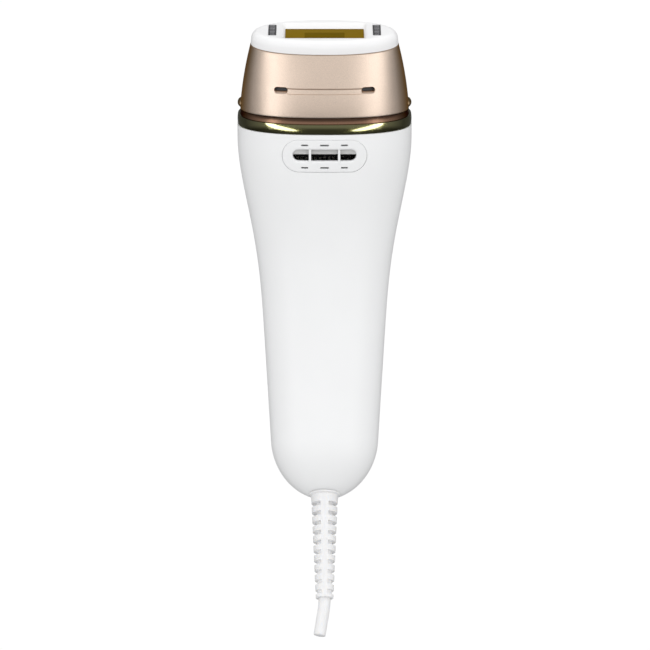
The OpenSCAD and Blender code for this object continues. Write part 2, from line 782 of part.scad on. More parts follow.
module status_leds() color("#f2f6d8") on_boards() for (x = [-5:2.5:5])
    block([x - 0.8, board_out + 0.05, lens_z - 0.6], [x + 0.8, board_out + 0.95, lens_z + 0.6]);

// ---------- treatment head ----------
head_bottom = collar_h + 0.15;
head_wall = 1.6;
nub_x = 31.5;
nub_r = 1.85;
nub_l = 9;
slot_up = 16.1;
slot_x = 16.4;
slot_l = 5.4;
slot_h = 2.7;
groove_up = slot_up - 0.05;
seam_up = face_up - bezel_h * cos(face_lean);
seam_back = -face_back + bezel_h * sin(face_lean);
face_corner = 2.25;

// Half sizes of the head at t from the collar (0) to the seam (1)
function head_w(t) = mix(32.3, seam_w / 2, 0.45 * t + 0.55 * t * t);
function head_d(t) = mix(22.3, seam_d / 2, 0.45 * t + 0.55 * t * t);
function head_loop(t, inset) = let (
    a = face_lean * t,
    back = seam_back * t,
    up = mix(head_bottom, seam_up, t))
    [for (p = oval(head_w(t) - inset, head_d(t) - inset, mix(neck_corner, face_corner, t)))
        [p.x, back + p.y * cos(a), up + p.y * sin(a)]];

// Slab of the head between two heights, drawn in by inset
module head_slice(from, to, inset, steps = 5) {
    loft([for (i = [0:steps]) head_loop(mix(to, from, i / steps), inset)]);
}

module head_shell() color(gold) on_spine(0) difference() {
    union() {
        head_slice(0, 0.997, 0);
        intersection() {
            for (k = [-1, 1]) translate([k * nub_x, 0, head_bottom + nub_r - 0.1]) rotate([90, 0, 0])
                cylinder(r = nub_r, h = nub_l, center = true);
            translate([0, 0, 15 + head_bottom]) cube([80, 20, 30], center = true);
        }
    }
    head_slice(-0.05, 1.04, head_wall);
    for (k = [-1, 1]) translate([k * slot_x, -10, slot_up]) rotate([90, 0, 0])
        linear_extrude(20) stadium(slot_l, slot_h);
    difference() {
        translate([0, -25, groove_up]) cube([2 * slot_x, 20, 2.2], center = true);
        head_slice(-0.05, 1.04, 0.35);
    }
}

// Rounded white face, from the seam up to the flat treatment face
round_steps = 7;
bezel_side = 1.7;
function bezel_loop(z, inset) =
    at_height(oval(seam_w / 2 - inset, seam_d / 2 - 0.85 * inset, face_corner), z);
module bezel_solid() {
    loft(concat(
        [for (i = [0:round_steps]) let (a = 90 * (1 - i / round_steps))
            bezel_loop(-(bezel_h - bezel_side) * (1 - sin(a)), 2.9 * (1 - cos(a)) + 0.2)],
        [bezel_loop(-bezel_h + 0.05, 0.05)]));
}

function rectangle(l, w) = [[l / 2, -w / 2], [l / 2, w / 2], [-l / 2, w / 2], [-l / 2, -w / 2]];

// Recess whose walls lean outwards, more so along its long sides
module window_recess(l, w, z0, z1) {
    loft([at_height(rectangle(l + 2 * end_slope * (z1 - z0), w + 2 * side_slope * (z1 - z0)), z1),
        at_height(rectangle(l, w), z0)]);
}

glass_lap = 0.8;
glass_h = 1.55;
gasket_low = 2.1;
funnel_l = 32.2;
funnel_w = 15.6;

// Block on the window's outline, larger by lap on every side
module window_block(lap, z0, z1) {
    block([-window_l / 2 - lap, -window_w / 2 - lap, z0], [window_l / 2 + lap, window_w / 2 + lap, z1]);
}

end_slope = 0.45;
side_slope = 1.1;
sensor_x = 19.8;
sensor_y = 0.8;
sensor_top = 0.1;
sensor_l = 13.1;
sensor_w = 3.1;
sensor_deep = 3.4;

module face_bezel() color(white) on_face() difference() {
    bezel_solid();
    window_recess(window_l, window_w, -window_sunk - 0.02, 0.5);
    window_block(0.9, -9, -window_sunk);
    for (k = [-1, 1]) translate([k * sensor_x, sensor_y, -9]) linear_extrude(12)
        square([sensor_w, sensor_l], center = true);
    translate([0, 0, -bezel_h - 1]) linear_extrude(2.6)
        polygon(oval(seam_w / 2 - 2.2, seam_d / 2 - 2.2, face_corner));
}

module filter_glass() color("#a87f0a") on_face()
    window_block(glass_lap, -window_sunk - glass_h, -window_sunk - 0.05);

module glass_gasket() color(dark) on_face() difference() {
    window_block(glass_lap, -window_sunk - gasket_low, -window_sunk - glass_h - 0.05);
    window_block(-0.4, -9, 0);
}

module light_funnel() color(steel) on_face() difference() {
    block([-funnel_l / 2, -funnel_w / 2, -31.6],
        [funnel_l / 2, funnel_w / 2, -window_sunk - gasket_low - 0.05]);
    block([-funnel_l / 2 + 0.7, -funnel_w / 2 + 0.7, -40], [funnel_l / 2 - 0.7, funnel_w / 2 - 0.7, 0]);
}

module skin_sensors() color("#3c3c3e") on_face() for (k = [-1, 1]) difference() {
    translate([k * sensor_x, sensor_y, -sensor_deep]) linear_extrude(sensor_deep - sensor_top)
        square([sensor_w - running, sensor_l - running], center = true);
    for (j = [-3:3]) translate([k * sensor_x, sensor_y + j * 1.7, 0])
        cube([sensor_w - 0.8, 0.7, 0.6], center = true);
}

module sensor_boards() color(board_green) on_face() for (k = [-1, 1])
    block([k * sensor_x - 2.2, sensor_y - 6.2, -sensor_deep - 1.2],
        [k * sensor_x + 2.2, sensor_y + 6.2, -sensor_deep - 0.05]);

module head_carrier() color("#e9e9e6") difference() {
    on_spine(0) {
        oval_prism(30.1, 20, neck_corner, 3, head_bottom + 0.1);
        oval_prism(30.3, 20.2, neck_corner, head_bottom, head_bottom + 1.5);
        for (k = [-1, 1]) translate([k * 24, 0, head_bottom]) cylinder(r = 2.4, h = 9);
    }
    on_spine(0) {
        oval_prism(28.4, 18.4, neck_corner, 0, head_bottom);
        block([-7.2, contact_y - 2.2, 0], [7.2, contact_y + 2.2, head_bottom + 0.9]);
    }
    on_face() block([-16.4, -8.1, -40], [16.4, 8.1, -10]);
    on_spine(0) for (k = [-1, 1]) translate([k * 24, 0, 0]) cylinder(r = 0.9, h = 30);
}

module contact_pads() color(gold) on_spine(0)
    block([-7, contact_y - 2, collar_h + 0.1], [7, contact_y + 2, collar_h + 0.95]);

// ---------- drawing ----------
front_shell();
rear_shell();
collar_ring();
vent_grille();
vent_mesh();
treatment_button();
treatment_plunger();
button_trim();
mode_button();
mode_plunger();
indicator_lens();
cord_boot();
power_cord();
cord_clamp();
clamp_screws();
mains_leads();
neck_deck();
deck_screws();
contact_block();
contact_plungers();
latch_springs();
lamp_tray();
lamp_cover();
lamp_screws();
lamp_window();
window_seal();
reflector();
flash_lamp();
lamp_electrodes();
lamp_holders();
lamp_leads();
trigger_coil();
fan_frame();
fan_stator();
fan_bearing();
fan_axle();
fan_impeller();
air_duct();
chassis();
chassis_screws();
main_capacitor();
power_board();
power_transformer();
power_parts();
heat_sink();
control_board();
control_chips();
status_leds();
treatment_switch();
mode_switch();
board_screws();
head_shell();
face_bezel();
filter_glass();
glass_gasket();
light_funnel();
head_carrier();
skin_sensors();
sensor_boards();
contact_pads();
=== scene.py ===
"""Looks of the IPL hair remover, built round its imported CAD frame.

Shapes are worked out in millimetres in the frame's own axes (origin at the centre of the treatment
face, +Z up the handle, -Y the vent side) and scaled to metres when a mesh is made.
"""
import json
import math

import bmesh
import bpy
from mathutils import Matrix, Vector


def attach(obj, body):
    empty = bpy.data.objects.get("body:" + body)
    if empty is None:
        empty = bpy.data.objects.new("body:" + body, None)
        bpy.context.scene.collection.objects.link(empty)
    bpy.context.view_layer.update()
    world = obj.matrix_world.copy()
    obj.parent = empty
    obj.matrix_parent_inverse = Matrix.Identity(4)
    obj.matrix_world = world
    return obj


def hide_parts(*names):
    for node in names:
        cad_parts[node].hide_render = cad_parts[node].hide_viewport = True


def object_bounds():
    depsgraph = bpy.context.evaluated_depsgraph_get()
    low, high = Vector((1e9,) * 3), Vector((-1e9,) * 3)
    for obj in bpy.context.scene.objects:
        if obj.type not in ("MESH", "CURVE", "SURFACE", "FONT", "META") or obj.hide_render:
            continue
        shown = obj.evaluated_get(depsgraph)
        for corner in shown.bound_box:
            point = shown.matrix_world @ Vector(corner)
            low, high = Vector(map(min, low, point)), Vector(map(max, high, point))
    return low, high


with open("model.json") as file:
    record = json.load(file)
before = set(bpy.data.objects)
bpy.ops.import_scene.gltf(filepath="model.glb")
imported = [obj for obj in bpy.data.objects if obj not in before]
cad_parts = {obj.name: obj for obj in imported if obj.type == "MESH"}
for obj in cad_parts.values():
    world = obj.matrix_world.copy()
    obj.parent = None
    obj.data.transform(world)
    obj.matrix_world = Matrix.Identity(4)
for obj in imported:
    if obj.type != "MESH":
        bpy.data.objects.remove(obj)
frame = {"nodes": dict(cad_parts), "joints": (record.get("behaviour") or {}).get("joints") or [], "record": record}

CAD_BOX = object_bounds()
MM = 0.001

# ---------------------------------------------------------------- driving dimensions, mm and degrees
# handle: length and bend of the spine, widths and depths at the neck and in the grip, loss per mm
HANDLE_L, BEND = 146.5, 26.0
NECK_W, NECK_D = 66.7, 47.0
GRIP_W, GRIP_D = 57.0, 38.4
TAPER_W, TAPER_D = 0.126, 0.04
SWELL_START, SWELL_END, SWELL_POWER = 5.0, 84.0, 1.8
TAIL_L, WALL, SEAM_GAP = 22.0, 2.0, 0.1
# powers of the superellipses, and the length over which the neck's turns into the tail's
NECK_CORNER, TAIL_CORNER, FACE_CORNER = 2.45, 2.15, 2.25
CORNER_RUN = 70.0
# collar and treatment head
COLLAR_H = 6.0
FACE_UP, FACE_BACK, FACE_LEAN = 36.0, 2.5, 8.0
HEAD_FOOT, HEAD_W, HEAD_D, HEAD_WALL = 0.15, 32.3, 22.3, 1.6
SEAM_W, SEAM_D = 56.2, 28.8
BEZEL_H, BEZEL_SIDE, BEZEL_ROUND = 5.0, 1.7, 2.9
WINDOW_L, WINDOW_W, WINDOW_SUNK = 29.9, 14.0, 1.75
END_SLOPE, SIDE_SLOPE = 0.45, 1.1
SENSOR_X, SENSOR_Y, SENSOR_TOP = 19.8, 0.8, 0.1
SENSOR_L, SENSOR_W = 13.1, 3.1
SLOT_X, SLOT_UP, SLOT_L, SLOT_H = 16.4, 16.1, 5.4, 2.7
GROOVE_DROP = 0.05
# vent insert and the controls on the other side
VENT_S, VENT_L, VENT_H = 8.8, 32.2, 12.6
VENT_OPEN_H, VENT_OPEN_Z = 4.3, 0.3
BOARDS_S = 61.0
TREAT_L, TREAT_H, TREAT_Z, TRIM_W = 16.0, 24.0, 12.0, 2.0
MODE_D, MODE_Z = 8.0, -18.0
LENS_L, LENS_H, LENS_Z = 14.0, 2.6, -8.0
# cord guard and cord
BOOT_L, BOOT_BACK, BOOT_SUNK, BOOT_LEAN = 41.5, 4.0, 1.0, 10.0
NOTCHES, NOTCH_FIRST, NOTCH_PITCH = 10, 4.85, 3.83
CORD_D, CORD_BEND_R, CORD_BEND, CORD_END = 4.6, 30.0, 9.0, 9.8
# gap all round a part that sits in an opening
VENT_GAP, INSERT_GAP, MODE_GAP = 0.07, 0.06, 0.15

JOINTS = {j["name"]: j for j in frame["joints"]}
MOUNTS = {m["name"]: m for m in frame["record"]["mounts"]}


def lean_of(axis):
    """Degrees that an axis leans from +Z towards -Y."""
    return math.degrees(math.atan2(-axis[1], axis[2]))


def cosd(a):
    return math.cos(math.radians(a))


def sind(a):
    return math.sin(math.radians(a))


def mix(a, b, t):
    return a * (1 - t) + b * t


def clamp(t):
    return min(1.0, max(0.0, t))


def ease(t):
    return t * t * (3 - 2 * t)


def between(edge0, edge1, x):
    """0 below edge0, 1 above edge1 and a smooth step between them."""
    return ease(clamp((x - edge0) / (edge1 - edge0)))


# ---------------------------------------------------------------- frames and the handle's profile
NECK_TILT = lean_of(JOINTS["head_release"]["axis"])
FACE_TILT = lean_of(MOUNTS["treatment_face"]["axis"])
NECK_Y = FACE_BACK * cosd(NECK_TILT) + FACE_UP * sind(NECK_TILT)
NECK_Z = FACE_BACK * sind(NECK_TILT) - FACE_UP * cosd(NECK_TILT)
SPINE_R = HANDLE_L / math.radians(BEND)
TAIL_START = HANDLE_L - TAIL_L


def turn(degrees, axis="X"):
    return Matrix.Rotation(math.radians(degrees), 4, axis)


def spine_a(s):
    return NECK_TILT - BEND * s / HANDLE_L


def on_spine(s):
    y = NECK_Y + SPINE_R * (cosd(spine_a(s)) - cosd(NECK_TILT))
    z = NECK_Z + SPINE_R * (sind(spine_a(s)) - sind(NECK_TILT))
    return Matrix.Translation((0, y, z)) @ turn(spine_a(s))


def swell(s):
    return ease(clamp((SWELL_END - s) / (SWELL_END - SWELL_START)) ** SWELL_POWER)


def tail(s, length):
    return math.sqrt(max(0.0, 1 - (max(0.0, s - TAIL_START) / length) ** 2))


def half_w(s, inset=0.0):
    return (mix(GRIP_W - TAPER_W * s, NECK_W, swell(s)) / 2 - inset) * tail(s, TAIL_L - inset)


def half_d(s, inset=0.0):
    return (mix(GRIP_D - TAPER_D * s, NECK_D, swell(s)) / 2 - inset) * tail(s, TAIL_L - inset)


def corner(s):
    return mix(NECK_CORNER, TAIL_CORNER, clamp(s / CORNER_RUN))


def depth_at(s, x):
    """Distance of the handle's surface from the spine at station s and width x."""
    n = corner(s)
    return half_d(s) * max(0.0, 1 - (abs(x) / half_w(s)) ** n) ** (1 / n)


NECK, BOARDS, VENT, FACE = on_spine(0), on_spine(BOARDS_S), on_spine(VENT_S), turn(FACE_TILT)
TAIL_RISE = TAIL_L * (1 - math.sqrt(1 - (BOOT_BACK / half_d(TAIL_START)) ** 2))
BOOT = (on_spine(HANDLE_L) @ Matrix.Translation((0, -BOOT_BACK, TAIL_RISE)) @ turn(-BOOT_LEAN)
    @ Matrix.Translation((0, 0, BOOT_SUNK)))
SKIN_ROUNDS = 5


def skin_y(matrix, x, z, side):
    """y in the frame `matrix` of the handle's surface at width x and height z, found in a few rounds."""
    back = matrix.inverted()
    s = BOARDS_S - z if matrix is BOARDS else VENT_S - z
    for _ in range(SKIN_ROUNDS):
        p = back @ (on_spine(s) @ Vector((x, side * depth_at(s, x), 0)))
        s += p.z - z
    return p.y


# ---------------------------------------------------------------- outlines
OVAL_FINE, RECT_CORNER_STEPS = 1440, 6


def power(c, n):
    return math.copysign(abs(c) ** (2 / n), c)


def oval(a, b, n, steps):
    """Superellipse outline with its points spread evenly along it."""
    fine = [(a * power(math.cos(t), n), b * power(math.sin(t), n))
        for t in (2 * math.pi * i / OVAL_FINE for i in range(OVAL_FINE + 1))]
    run = [0.0]
    for p, q in zip(fine, fine[1:]):
        run.append(run[-1] + math.dist(p, q))
    points, k = [], 0
    for i in range(steps):
        want = run[-1] * i / steps
        while run[k + 1] < want:
            k += 1
        t = (want - run[k]) / (run[k + 1] - run[k])
        points.append((mix(fine[k][0], fine[k + 1][0], t), mix(fine[k][1], fine[k + 1][1], t)))
    return points


def stadium(length, height, arc=20, flat=14):
    """Outline of a slot with the same count of points on each arc and each flat at any size."""
    r, half = min(length, height) / 2, abs(length - height) / 2
    turns = [math.pi * i / arc for i in range(arc)]
    points = [(half + r * math.sin(a), -r * math.cos(a)) for a in turns]
    points += [(half - 2 * half * i / flat, r) for i in range(flat)]
    points += [(-x, -y) for x, y in points]
    return points if length >= height else [(-y, x) for x, y in points]


def rounded_rect(length, width, r):
    points = []
    for quarter in range(4):
        x = (length / 2 - r) * (1 if quarter in (0, 3) else -1)
        y = (width / 2 - r) * (1 if quarter < 2 else -1)
        for i in range(RECT_CORNER_STEPS + 1):
            a = math.pi / 2 * (quarter + i / RECT_CORNER_STEPS)
            points.append((x + r * math.cos(a), y + r * math.sin(a)))
    return points


def circle(r, steps=48):
    return [(r * cosd(360 * i / steps), r * sind(360 * i / steps)) for i in range(steps)]


# ---------------------------------------------------------------- meshes
WELD, SHARP, FINE_SHARP, THINNEST = 1e-6, 38, 30, 0.02
BOX_END_STEPS, BOX_END_SHARE, BOX_CORNER_SHARE = 4, 2.2, 0.9


def place(matrix, points):
    return [matrix @ Vector(p) for p in points]


def at_height(outline, z):
    return [(x, y, z) for x, y in outline]


def grid(rows, wrap=False, cap=True):
    """Skin over rows of closed rings with equal counts, wrapped round or closed at both ends."""
    cols = len(rows[0])
    faces = []
    for i in range(len(rows) if wrap else len(rows) - 1):
        a, b = i * cols, ((i + 1) % len(rows)) * cols
        faces += [(a + j, a + (j + 1) % cols, b + (j + 1) % cols, b + j) for j in range(cols)]
    if cap and not wrap:
        last = (len(rows) - 1) * cols
        faces += [tuple(range(cols)), tuple(last + j for j in range(cols))]
    return [p for row in rows for p in row], faces


def merge(*parts):
    points, faces = [], []
    for more_points, more_faces in parts:
        base = len(points)
        points += more_points
        faces += [tuple(base + i for i in face) for face in more_faces]
    return points, faces


def shade(mesh, sharp):
    """Smooth shading, but for edges that turn by more than `sharp` degrees."""
    mesh.polygons.foreach_set("use_smooth", [True] * len(mesh.polygons))
    mesh.set_sharp_from_angle(angle=math.radians(sharp))


def build(name, part, sharp=SHARP):
    mesh = bpy.data.meshes.new(name)
    mesh.from_pydata([Vector(p) * MM for p in part[0]], [], part[1])
    bm = bmesh.new()
    bm.from_mesh(mesh)
    bmesh.ops.remove_doubles(bm, verts=bm.verts, dist=WELD)
    bmesh.ops.recalc_face_normals(bm, faces=bm.faces)
    bm.to_mesh(mesh)
    bm.free()
    shade(mesh, sharp)
    obj = bpy.data.objects.new(name, mesh)
    bpy.context.scene.collection.objects.link(obj)
    return obj


def carve(obj, cutters):
    """Cuts the solids `cutters` out of obj."""
    tools = [build(obj.name + "_cut", cutter) for cutter in cutters]
    for tool in tools:
        cut = obj.modifiers.new("cut", "BOOLEAN")
        cut.operation = "DIFFERENCE"
        cut.solver = "EXACT"
        cut.object = tool
    mesh = bpy.data.meshes.new_from_object(obj.evaluated_get(bpy.context.evaluated_depsgraph_get()))
    obj.modifiers.clear()
    obj.data = mesh
    for tool in tools:
        bpy.data.objects.remove(tool)
    shade(mesh, SHARP)
    return obj


def rounded_box(matrix, low, high, r):
    """Box with rounded upright edges and softened ends."""
    soft = min(r, (high[2] - low[2]) / BOX_END_SHARE)
    middle = matrix @ Matrix.Translation(((low[0] + high[0]) / 2, (low[1] + high[1]) / 2, 0))
    end = []
    for i in range(BOX_END_STEPS + 1):
        a = math.pi / 2 * (1 - i / BOX_END_STEPS)
        up, inset = soft * (1 - math.sin(a)), soft * (1 - math.cos(a))
        end.append((up, rounded_rect(high[0] - low[0] - 2 * inset, high[1] - low[1] - 2 * inset,
            r - BOX_CORNER_SHARE * inset)))
    levels = [(low[2] + up, outline) for up, outline in end]
    levels += [(high[2] - up, outline) for up, outline in reversed(end)]
    return grid([place(middle, at_height(outline, z)) for z, outline in levels])


def prism_y(matrix, outline, y0, y1):
    """Upright prism along Y on an outline in X and Z."""
    return grid([place(matrix, [(x, y, z) for x, z in outline]) for y in (y0, y1)])


def shifted(outline, dx, dy):
    return [(x + dx, y + dy) for x, y in outline]


def on_handle(matrix, side, length, height, z0, levels, wrap=False, rise=0.0):
    """Solid through slot-shaped outlines that follow the handle's skin; a level is (inset, proud).

    The outlines also move up by rise for each millimetre of inset."""
    rows = []
    for inset, proud in levels:
        outline = stadium(max(THINNEST, length - 2 * inset), max(THINNEST, height - 2 * inset))
        up = z0 + rise * inset
        rows.append([matrix @ Vector((x, skin_y(matrix, x, z + up, side) + side * proud, z + up))
            for x, z in outline])
    return grid(rows, wrap=wrap)


def piece(obj, body, slot, *nodes, finish=None):
    """Puts obj on a body in place of CAD nodes, with its slot's finish or a finish of its own."""
    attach(obj, body)
    obj.data.materials.clear()
    obj.data.materials.append(MATERIALS[finish or slot])
    if nodes:
        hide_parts(*nodes)
    return obj


# ---------------------------------------------------------------- materials


def node(tree, kind, inputs=None, **settings):
    new = tree.nodes.new("ShaderNode" + kind)
    for key, value in settings.items():
        setattr(new, key, value)
    for key, value in (inputs or {}).items():
        if isinstance(value, bpy.types.NodeSocket):
            tree.links.new(value, new.inputs[key])
        else:
            new.inputs[key].default_value = value
    return new


def blank_tree(owner):
    owner.use_nodes = True
    owner.node_tree.nodes.clear()
    return owner.node_tree


def ramp(tree, value, low=0.0, high=1.0, to_low=0.0, to_high=1.0):
    """Maps value from low..high to to_low..to_high and holds it at both ends."""
    return node(tree, "MapRange", {"Value": value, "From Min": low, "From Max": high, "To Min": to_low,
        "To Max": to_high}).outputs[0]


def blended(tree, share, first, second):
    """Colour between first, where share is 0, and second, where it is 1."""
    return node(tree, "Mix", {"Factor": share, 6: first, 7: second}, data_type="RGBA").outputs[2]


CLOUD_SCALE, ROUGH_SPREAD, COAT_ROUGH, BUMP_DEEP = 60.0, 0.15, 0.06, 0.0003
RUBBED_FROM, RUBBED_FULL, RUBBED_PALE = 0.52, 0.62, 0.35
# slant of view over which the painted reflection at a metal's rim comes in
RIM_REFLECTION_BLEND, RIM_REFLECTION_FROM, RIM_REFLECTION_FULL = 0.45, 0.3, 0.75
SOFT_REACH = (0.004, 0.0038, 0.0035)


def surface(name, color, rough, metal=0.0, coat=0.0, tone=0.02, grain=900.0, bump=0.05, wear=0.1,
        sparkle=0.0, clear=0.0, soft=0.0, ior=1.46, rim_tint_and_reflection=None):
    """Procedural finish: cloudy tone, fine grain, uneven gloss, rubbed edges and a rim colour, which tints the
    metal's reflections and is also painted reflection that the colour turns towards at grazing angles.
    """
    material = bpy.data.materials.new(name)
    tree = blank_tree(material)
    where = node(tree, "TexCoord").outputs["Object"]
    cloud = node(tree, "TexNoise", {"Vector": where, "Scale": CLOUD_SCALE, "Detail": 3.0}).outputs["Fac"]
    fine = node(tree, "TexNoise", {"Vector": where, "Scale": grain, "Detail": 2.0}).outputs["Fac"]
    edge = node(tree, "NewGeometry").outputs["Pointiness"]
    rubbed = ramp(tree, edge, RUBBED_FROM, RUBBED_FULL, to_high=wear)
    tint = ramp(tree, cloud, 0.25, 0.75, 1 - tone, 1 + tone)
    level = ramp(tree, fine, 0.35, 0.75, 1 - sparkle, 1 + 1.5 * sparkle)
    amount = node(tree, "Math", {0: tint, 1: level}, operation="MULTIPLY").outputs[0]
    shaded = node(tree, "VectorMath", {0: color, "Scale": amount}, operation="SCALE").outputs[0]
    worn = [mix(c, 1.0, RUBBED_PALE) for c in color] + [1.0]
    base = blended(tree, rubbed, shaded, worn)
    # painted reflection: towards grazing angles the colour turns to the rim colour, standing in for the
    # surroundings the metal reflects there
    if rim_tint_and_reflection:
        slant = node(tree, "LayerWeight", {"Blend": RIM_REFLECTION_BLEND}).outputs["Facing"]
        base = blended(tree, ramp(tree, slant, RIM_REFLECTION_FROM, RIM_REFLECTION_FULL), base, (*rim_tint_and_reflection, 1.0))
    uneven = ramp(tree, cloud, 0.2, 0.8, rough * (1 - ROUGH_SPREAD), rough * (1 + ROUGH_SPREAD))
    relief = node(tree, "Bump", {"Height": fine, "Strength": bump, "Distance": BUMP_DEEP}).outputs[0]
    shader = node(tree, "BsdfPrincipled", {"Base Color": base, "Metallic": metal, "Roughness": uneven,
        "Normal": relief, "IOR": ior, "Coat Weight": coat, "Coat Roughness": COAT_ROUGH,
        "Transmission Weight": clear, "Specular Tint": (*(rim_tint_and_reflection or (1, 1, 1)), 1.0),
        "Subsurface Weight": soft, "Subsurface Radius": SOFT_REACH}).outputs[0]
    node(tree, "OutputMaterial", {"Surface": shader}).is_active_output = True
    return material


FINISHES = {
    "white_gloss": dict(color=(0.86, 0.865, 0.87), rough=0.34, ior=1.3, tone=0.008, bump=0.02, wear=0.05),
    "face_white": dict(color=(0.88, 0.88, 0.885), rough=0.3, ior=1.3, tone=0.008, bump=0.015, wear=0.05),
    "vent_white": dict(color=(0.845, 0.85, 0.855), ior=1.3, rough=0.34, tone=0.015, bump=0.05),
    "rose_gold": dict(color=(0.86, 0.7, 0.58), rough=0.36, metal=1.0, coat=0.1, tone=0.02, grain=5200.0,
        bump=0.2, sparkle=0.09, wear=0.1, rim_tint_and_reflection=(0.6, 0.37, 0.16)),
    "bronze_chrome": dict(color=(0.125, 0.12, 0.042), coat=1.0, rough=0.14, metal=1.0, tone=0.03,
        bump=0.02, wear=0.2, rim_tint_and_reflection=(0.3, 0.3, 0.16)),
    # painted reflection: the collar's own chrome, tinted copper for the gold head reflected in its upper step
    "chrome_painted_gold_reflection": dict(color=(0.28, 0.16, 0.105), rough=0.26, metal=1.0, tone=0.04, bump=0.02,
        rim_tint_and_reflection=(0.2, 0.11, 0.06)),
    "amber_glass": dict(color=(0.19, 0.12, 0.009), rough=0.2, ior=1.01, tone=0.04, bump=0.01, wear=0.0),
    # painted shade: a darker copy of the amber glass for where it lies over the aperture
    "amber_painted_shade": dict(color=(0.13, 0.082, 0.004), rough=0.2, ior=1.01, tone=0.06, bump=0.01, wear=0.0),
    "clear_glass": dict(color=(0.93, 0.95, 0.96), rough=0.05, clear=0.9, tone=0.01, bump=0.01),
    "lens": dict(color=(0.8, 0.84, 0.86), rough=0.28, clear=0.35, tone=0.01),
    "sensor_dark": dict(color=(0.05, 0.05, 0.055), rough=0.22, coat=0.4, tone=0.05),
    "sensor_bar": dict(color=(0.23, 0.23, 0.24), rough=0.3, tone=0.05),
    "flex_white": dict(color=(0.84, 0.84, 0.845), rough=0.42, soft=0.6, tone=0.012, bump=0.05),
    # painted shade: near-black and nearly unreflecting, so the vent's mesh reads as the shade inside the vent
    "mesh_painted_shade": dict(color=(0.004, 0.004, 0.004), rough=0.8, ior=1.05, tone=0.1, bump=0.05),
    # painted shade: a darker copy of the rose gold, as dark as the head's side edges where the nubs sit
    "nub_gold_painted_shade": dict(color=(0.46, 0.33, 0.2), rough=0.5, metal=1.0, tone=0.03, rim_tint_and_reflection=(0.3, 0.22, 0.12)),
    "dark_plastic": dict(color=(0.014, 0.014, 0.015), rough=0.5, tone=0.1, bump=0.12),
    "light_plastic": dict(color=(0.6, 0.6, 0.59), rough=0.45, tone=0.03, bump=0.08),
    "heat_plastic": dict(color=(0.62, 0.58, 0.5), rough=0.55, tone=0.04, bump=0.1),
    "steel": dict(color=(0.56, 0.57, 0.59), rough=0.28, metal=1.0, grain=2400.0, tone=0.05),
    "mirror_metal": dict(color=(0.8, 0.81, 0.82), rough=0.12, metal=1.0, tone=0.02),
    "sink_metal": dict(color=(0.55, 0.56, 0.57), rough=0.4, metal=1.0, grain=1600.0, tone=0.05, bump=0.1),
    "brass": dict(color=(0.74, 0.52, 0.2), rough=0.22, metal=1.0, tone=0.05),
    "copper": dict(color=(0.6, 0.26, 0.1), rough=0.3, metal=1.0, grain=3000.0, tone=0.1, bump=0.3),
    "winding": dict(color=(0.55, 0.38, 0.08), rough=0.45, tone=0.08, bump=0.1),
    "board": dict(color=(0.02, 0.12, 0.05), rough=0.35, coat=0.3, tone=0.15, grain=1400.0, bump=0.1),
    "can": dict(color=(0.02, 0.035, 0.1), rough=0.25, coat=0.3, tone=0.05),
    "led": dict(color=(0.85, 0.9, 0.75), rough=0.3, clear=0.2, tone=0.03),
    "seal": dict(color=(0.015, 0.015, 0.015), rough=0.6, tone=0.1),
    "lead_brown": dict(color=(0.12, 0.05, 0.02), rough=0.45, tone=0.08),
    "lead_red": dict(color=(0.3, 0.015, 0.015), rough=0.45, tone=0.08),
}
MATERIALS = {name: surface(name, **finish) for name, finish in FINISHES.items()}

for part in frame["record"]["subparts"]:
    carried = frame["nodes"][part["node"]]
    carried.data.materials.clear()
    # painted shade: the vent's mesh takes a near-black finish in place of its slot's, for the shade inside the
    # vent
    finish = "mesh_painted_shade" if part["node"] == "vent_mesh" else part["material_slot"]
    carried.data.materials.append(MATERIALS[finish])

# ---------------------------------------------------------------- handle shells
SHELL_ROWS, SHELL_TAIL_ROWS, SHELL_COLS = 96, 26, 110
SEAM_SOFT, INNER_SOFT, SEAM_ANGLES = 0.35, 0.02, (0, 30, 60)
BOOT_HOLE_R, BOOT_SEAT_R, BOOT_SEAT_Z, HOLE_TOP, SEAT_LOW, HOLE_STEPS = 4.1, 6.15, 0.05, 4, -8, 64
INTAKE_SLOTS, INTAKE_PITCH, INTAKE_L, INTAKE_H, INTAKE_ROUND = 5, 4.4, 2.8, 1.0, 0.45
# how far from the spine the cutters of openings start and end, towards +Y and -Y
BACK_REACH, FRONT_REACH, INTAKE_REACH = (9, 29), (-8, -38), (10, 32)


def half_row(s, side, inset, soft):
    """Points across one half of the body at station s, from the +X edge to the -X edge."""
    a, b, n = half_w(s, inset), half_d(s, inset), corner(s)
    gap = min(SEAM_GAP / 2, b / 2)
    soft = min(soft, a / 2, (b - gap) / 2)
    row = [(a - soft * (1 - sind(t)), gap + soft * (1 - cosd(t))) for t in SEAM_ANGLES]
    for i in range(SHELL_COLS + 1):
        t = math.pi * i / SHELL_COLS
        row.append((a * power(math.cos(t), n), mix(gap + soft, b, power(math.sin(t), n))))
    row += [(-x, y) for x, y in reversed(row[:len(SEAM_ANGLES)])]
    return place(on_spine(s), [(x, side * y, 0) for x, y in row])


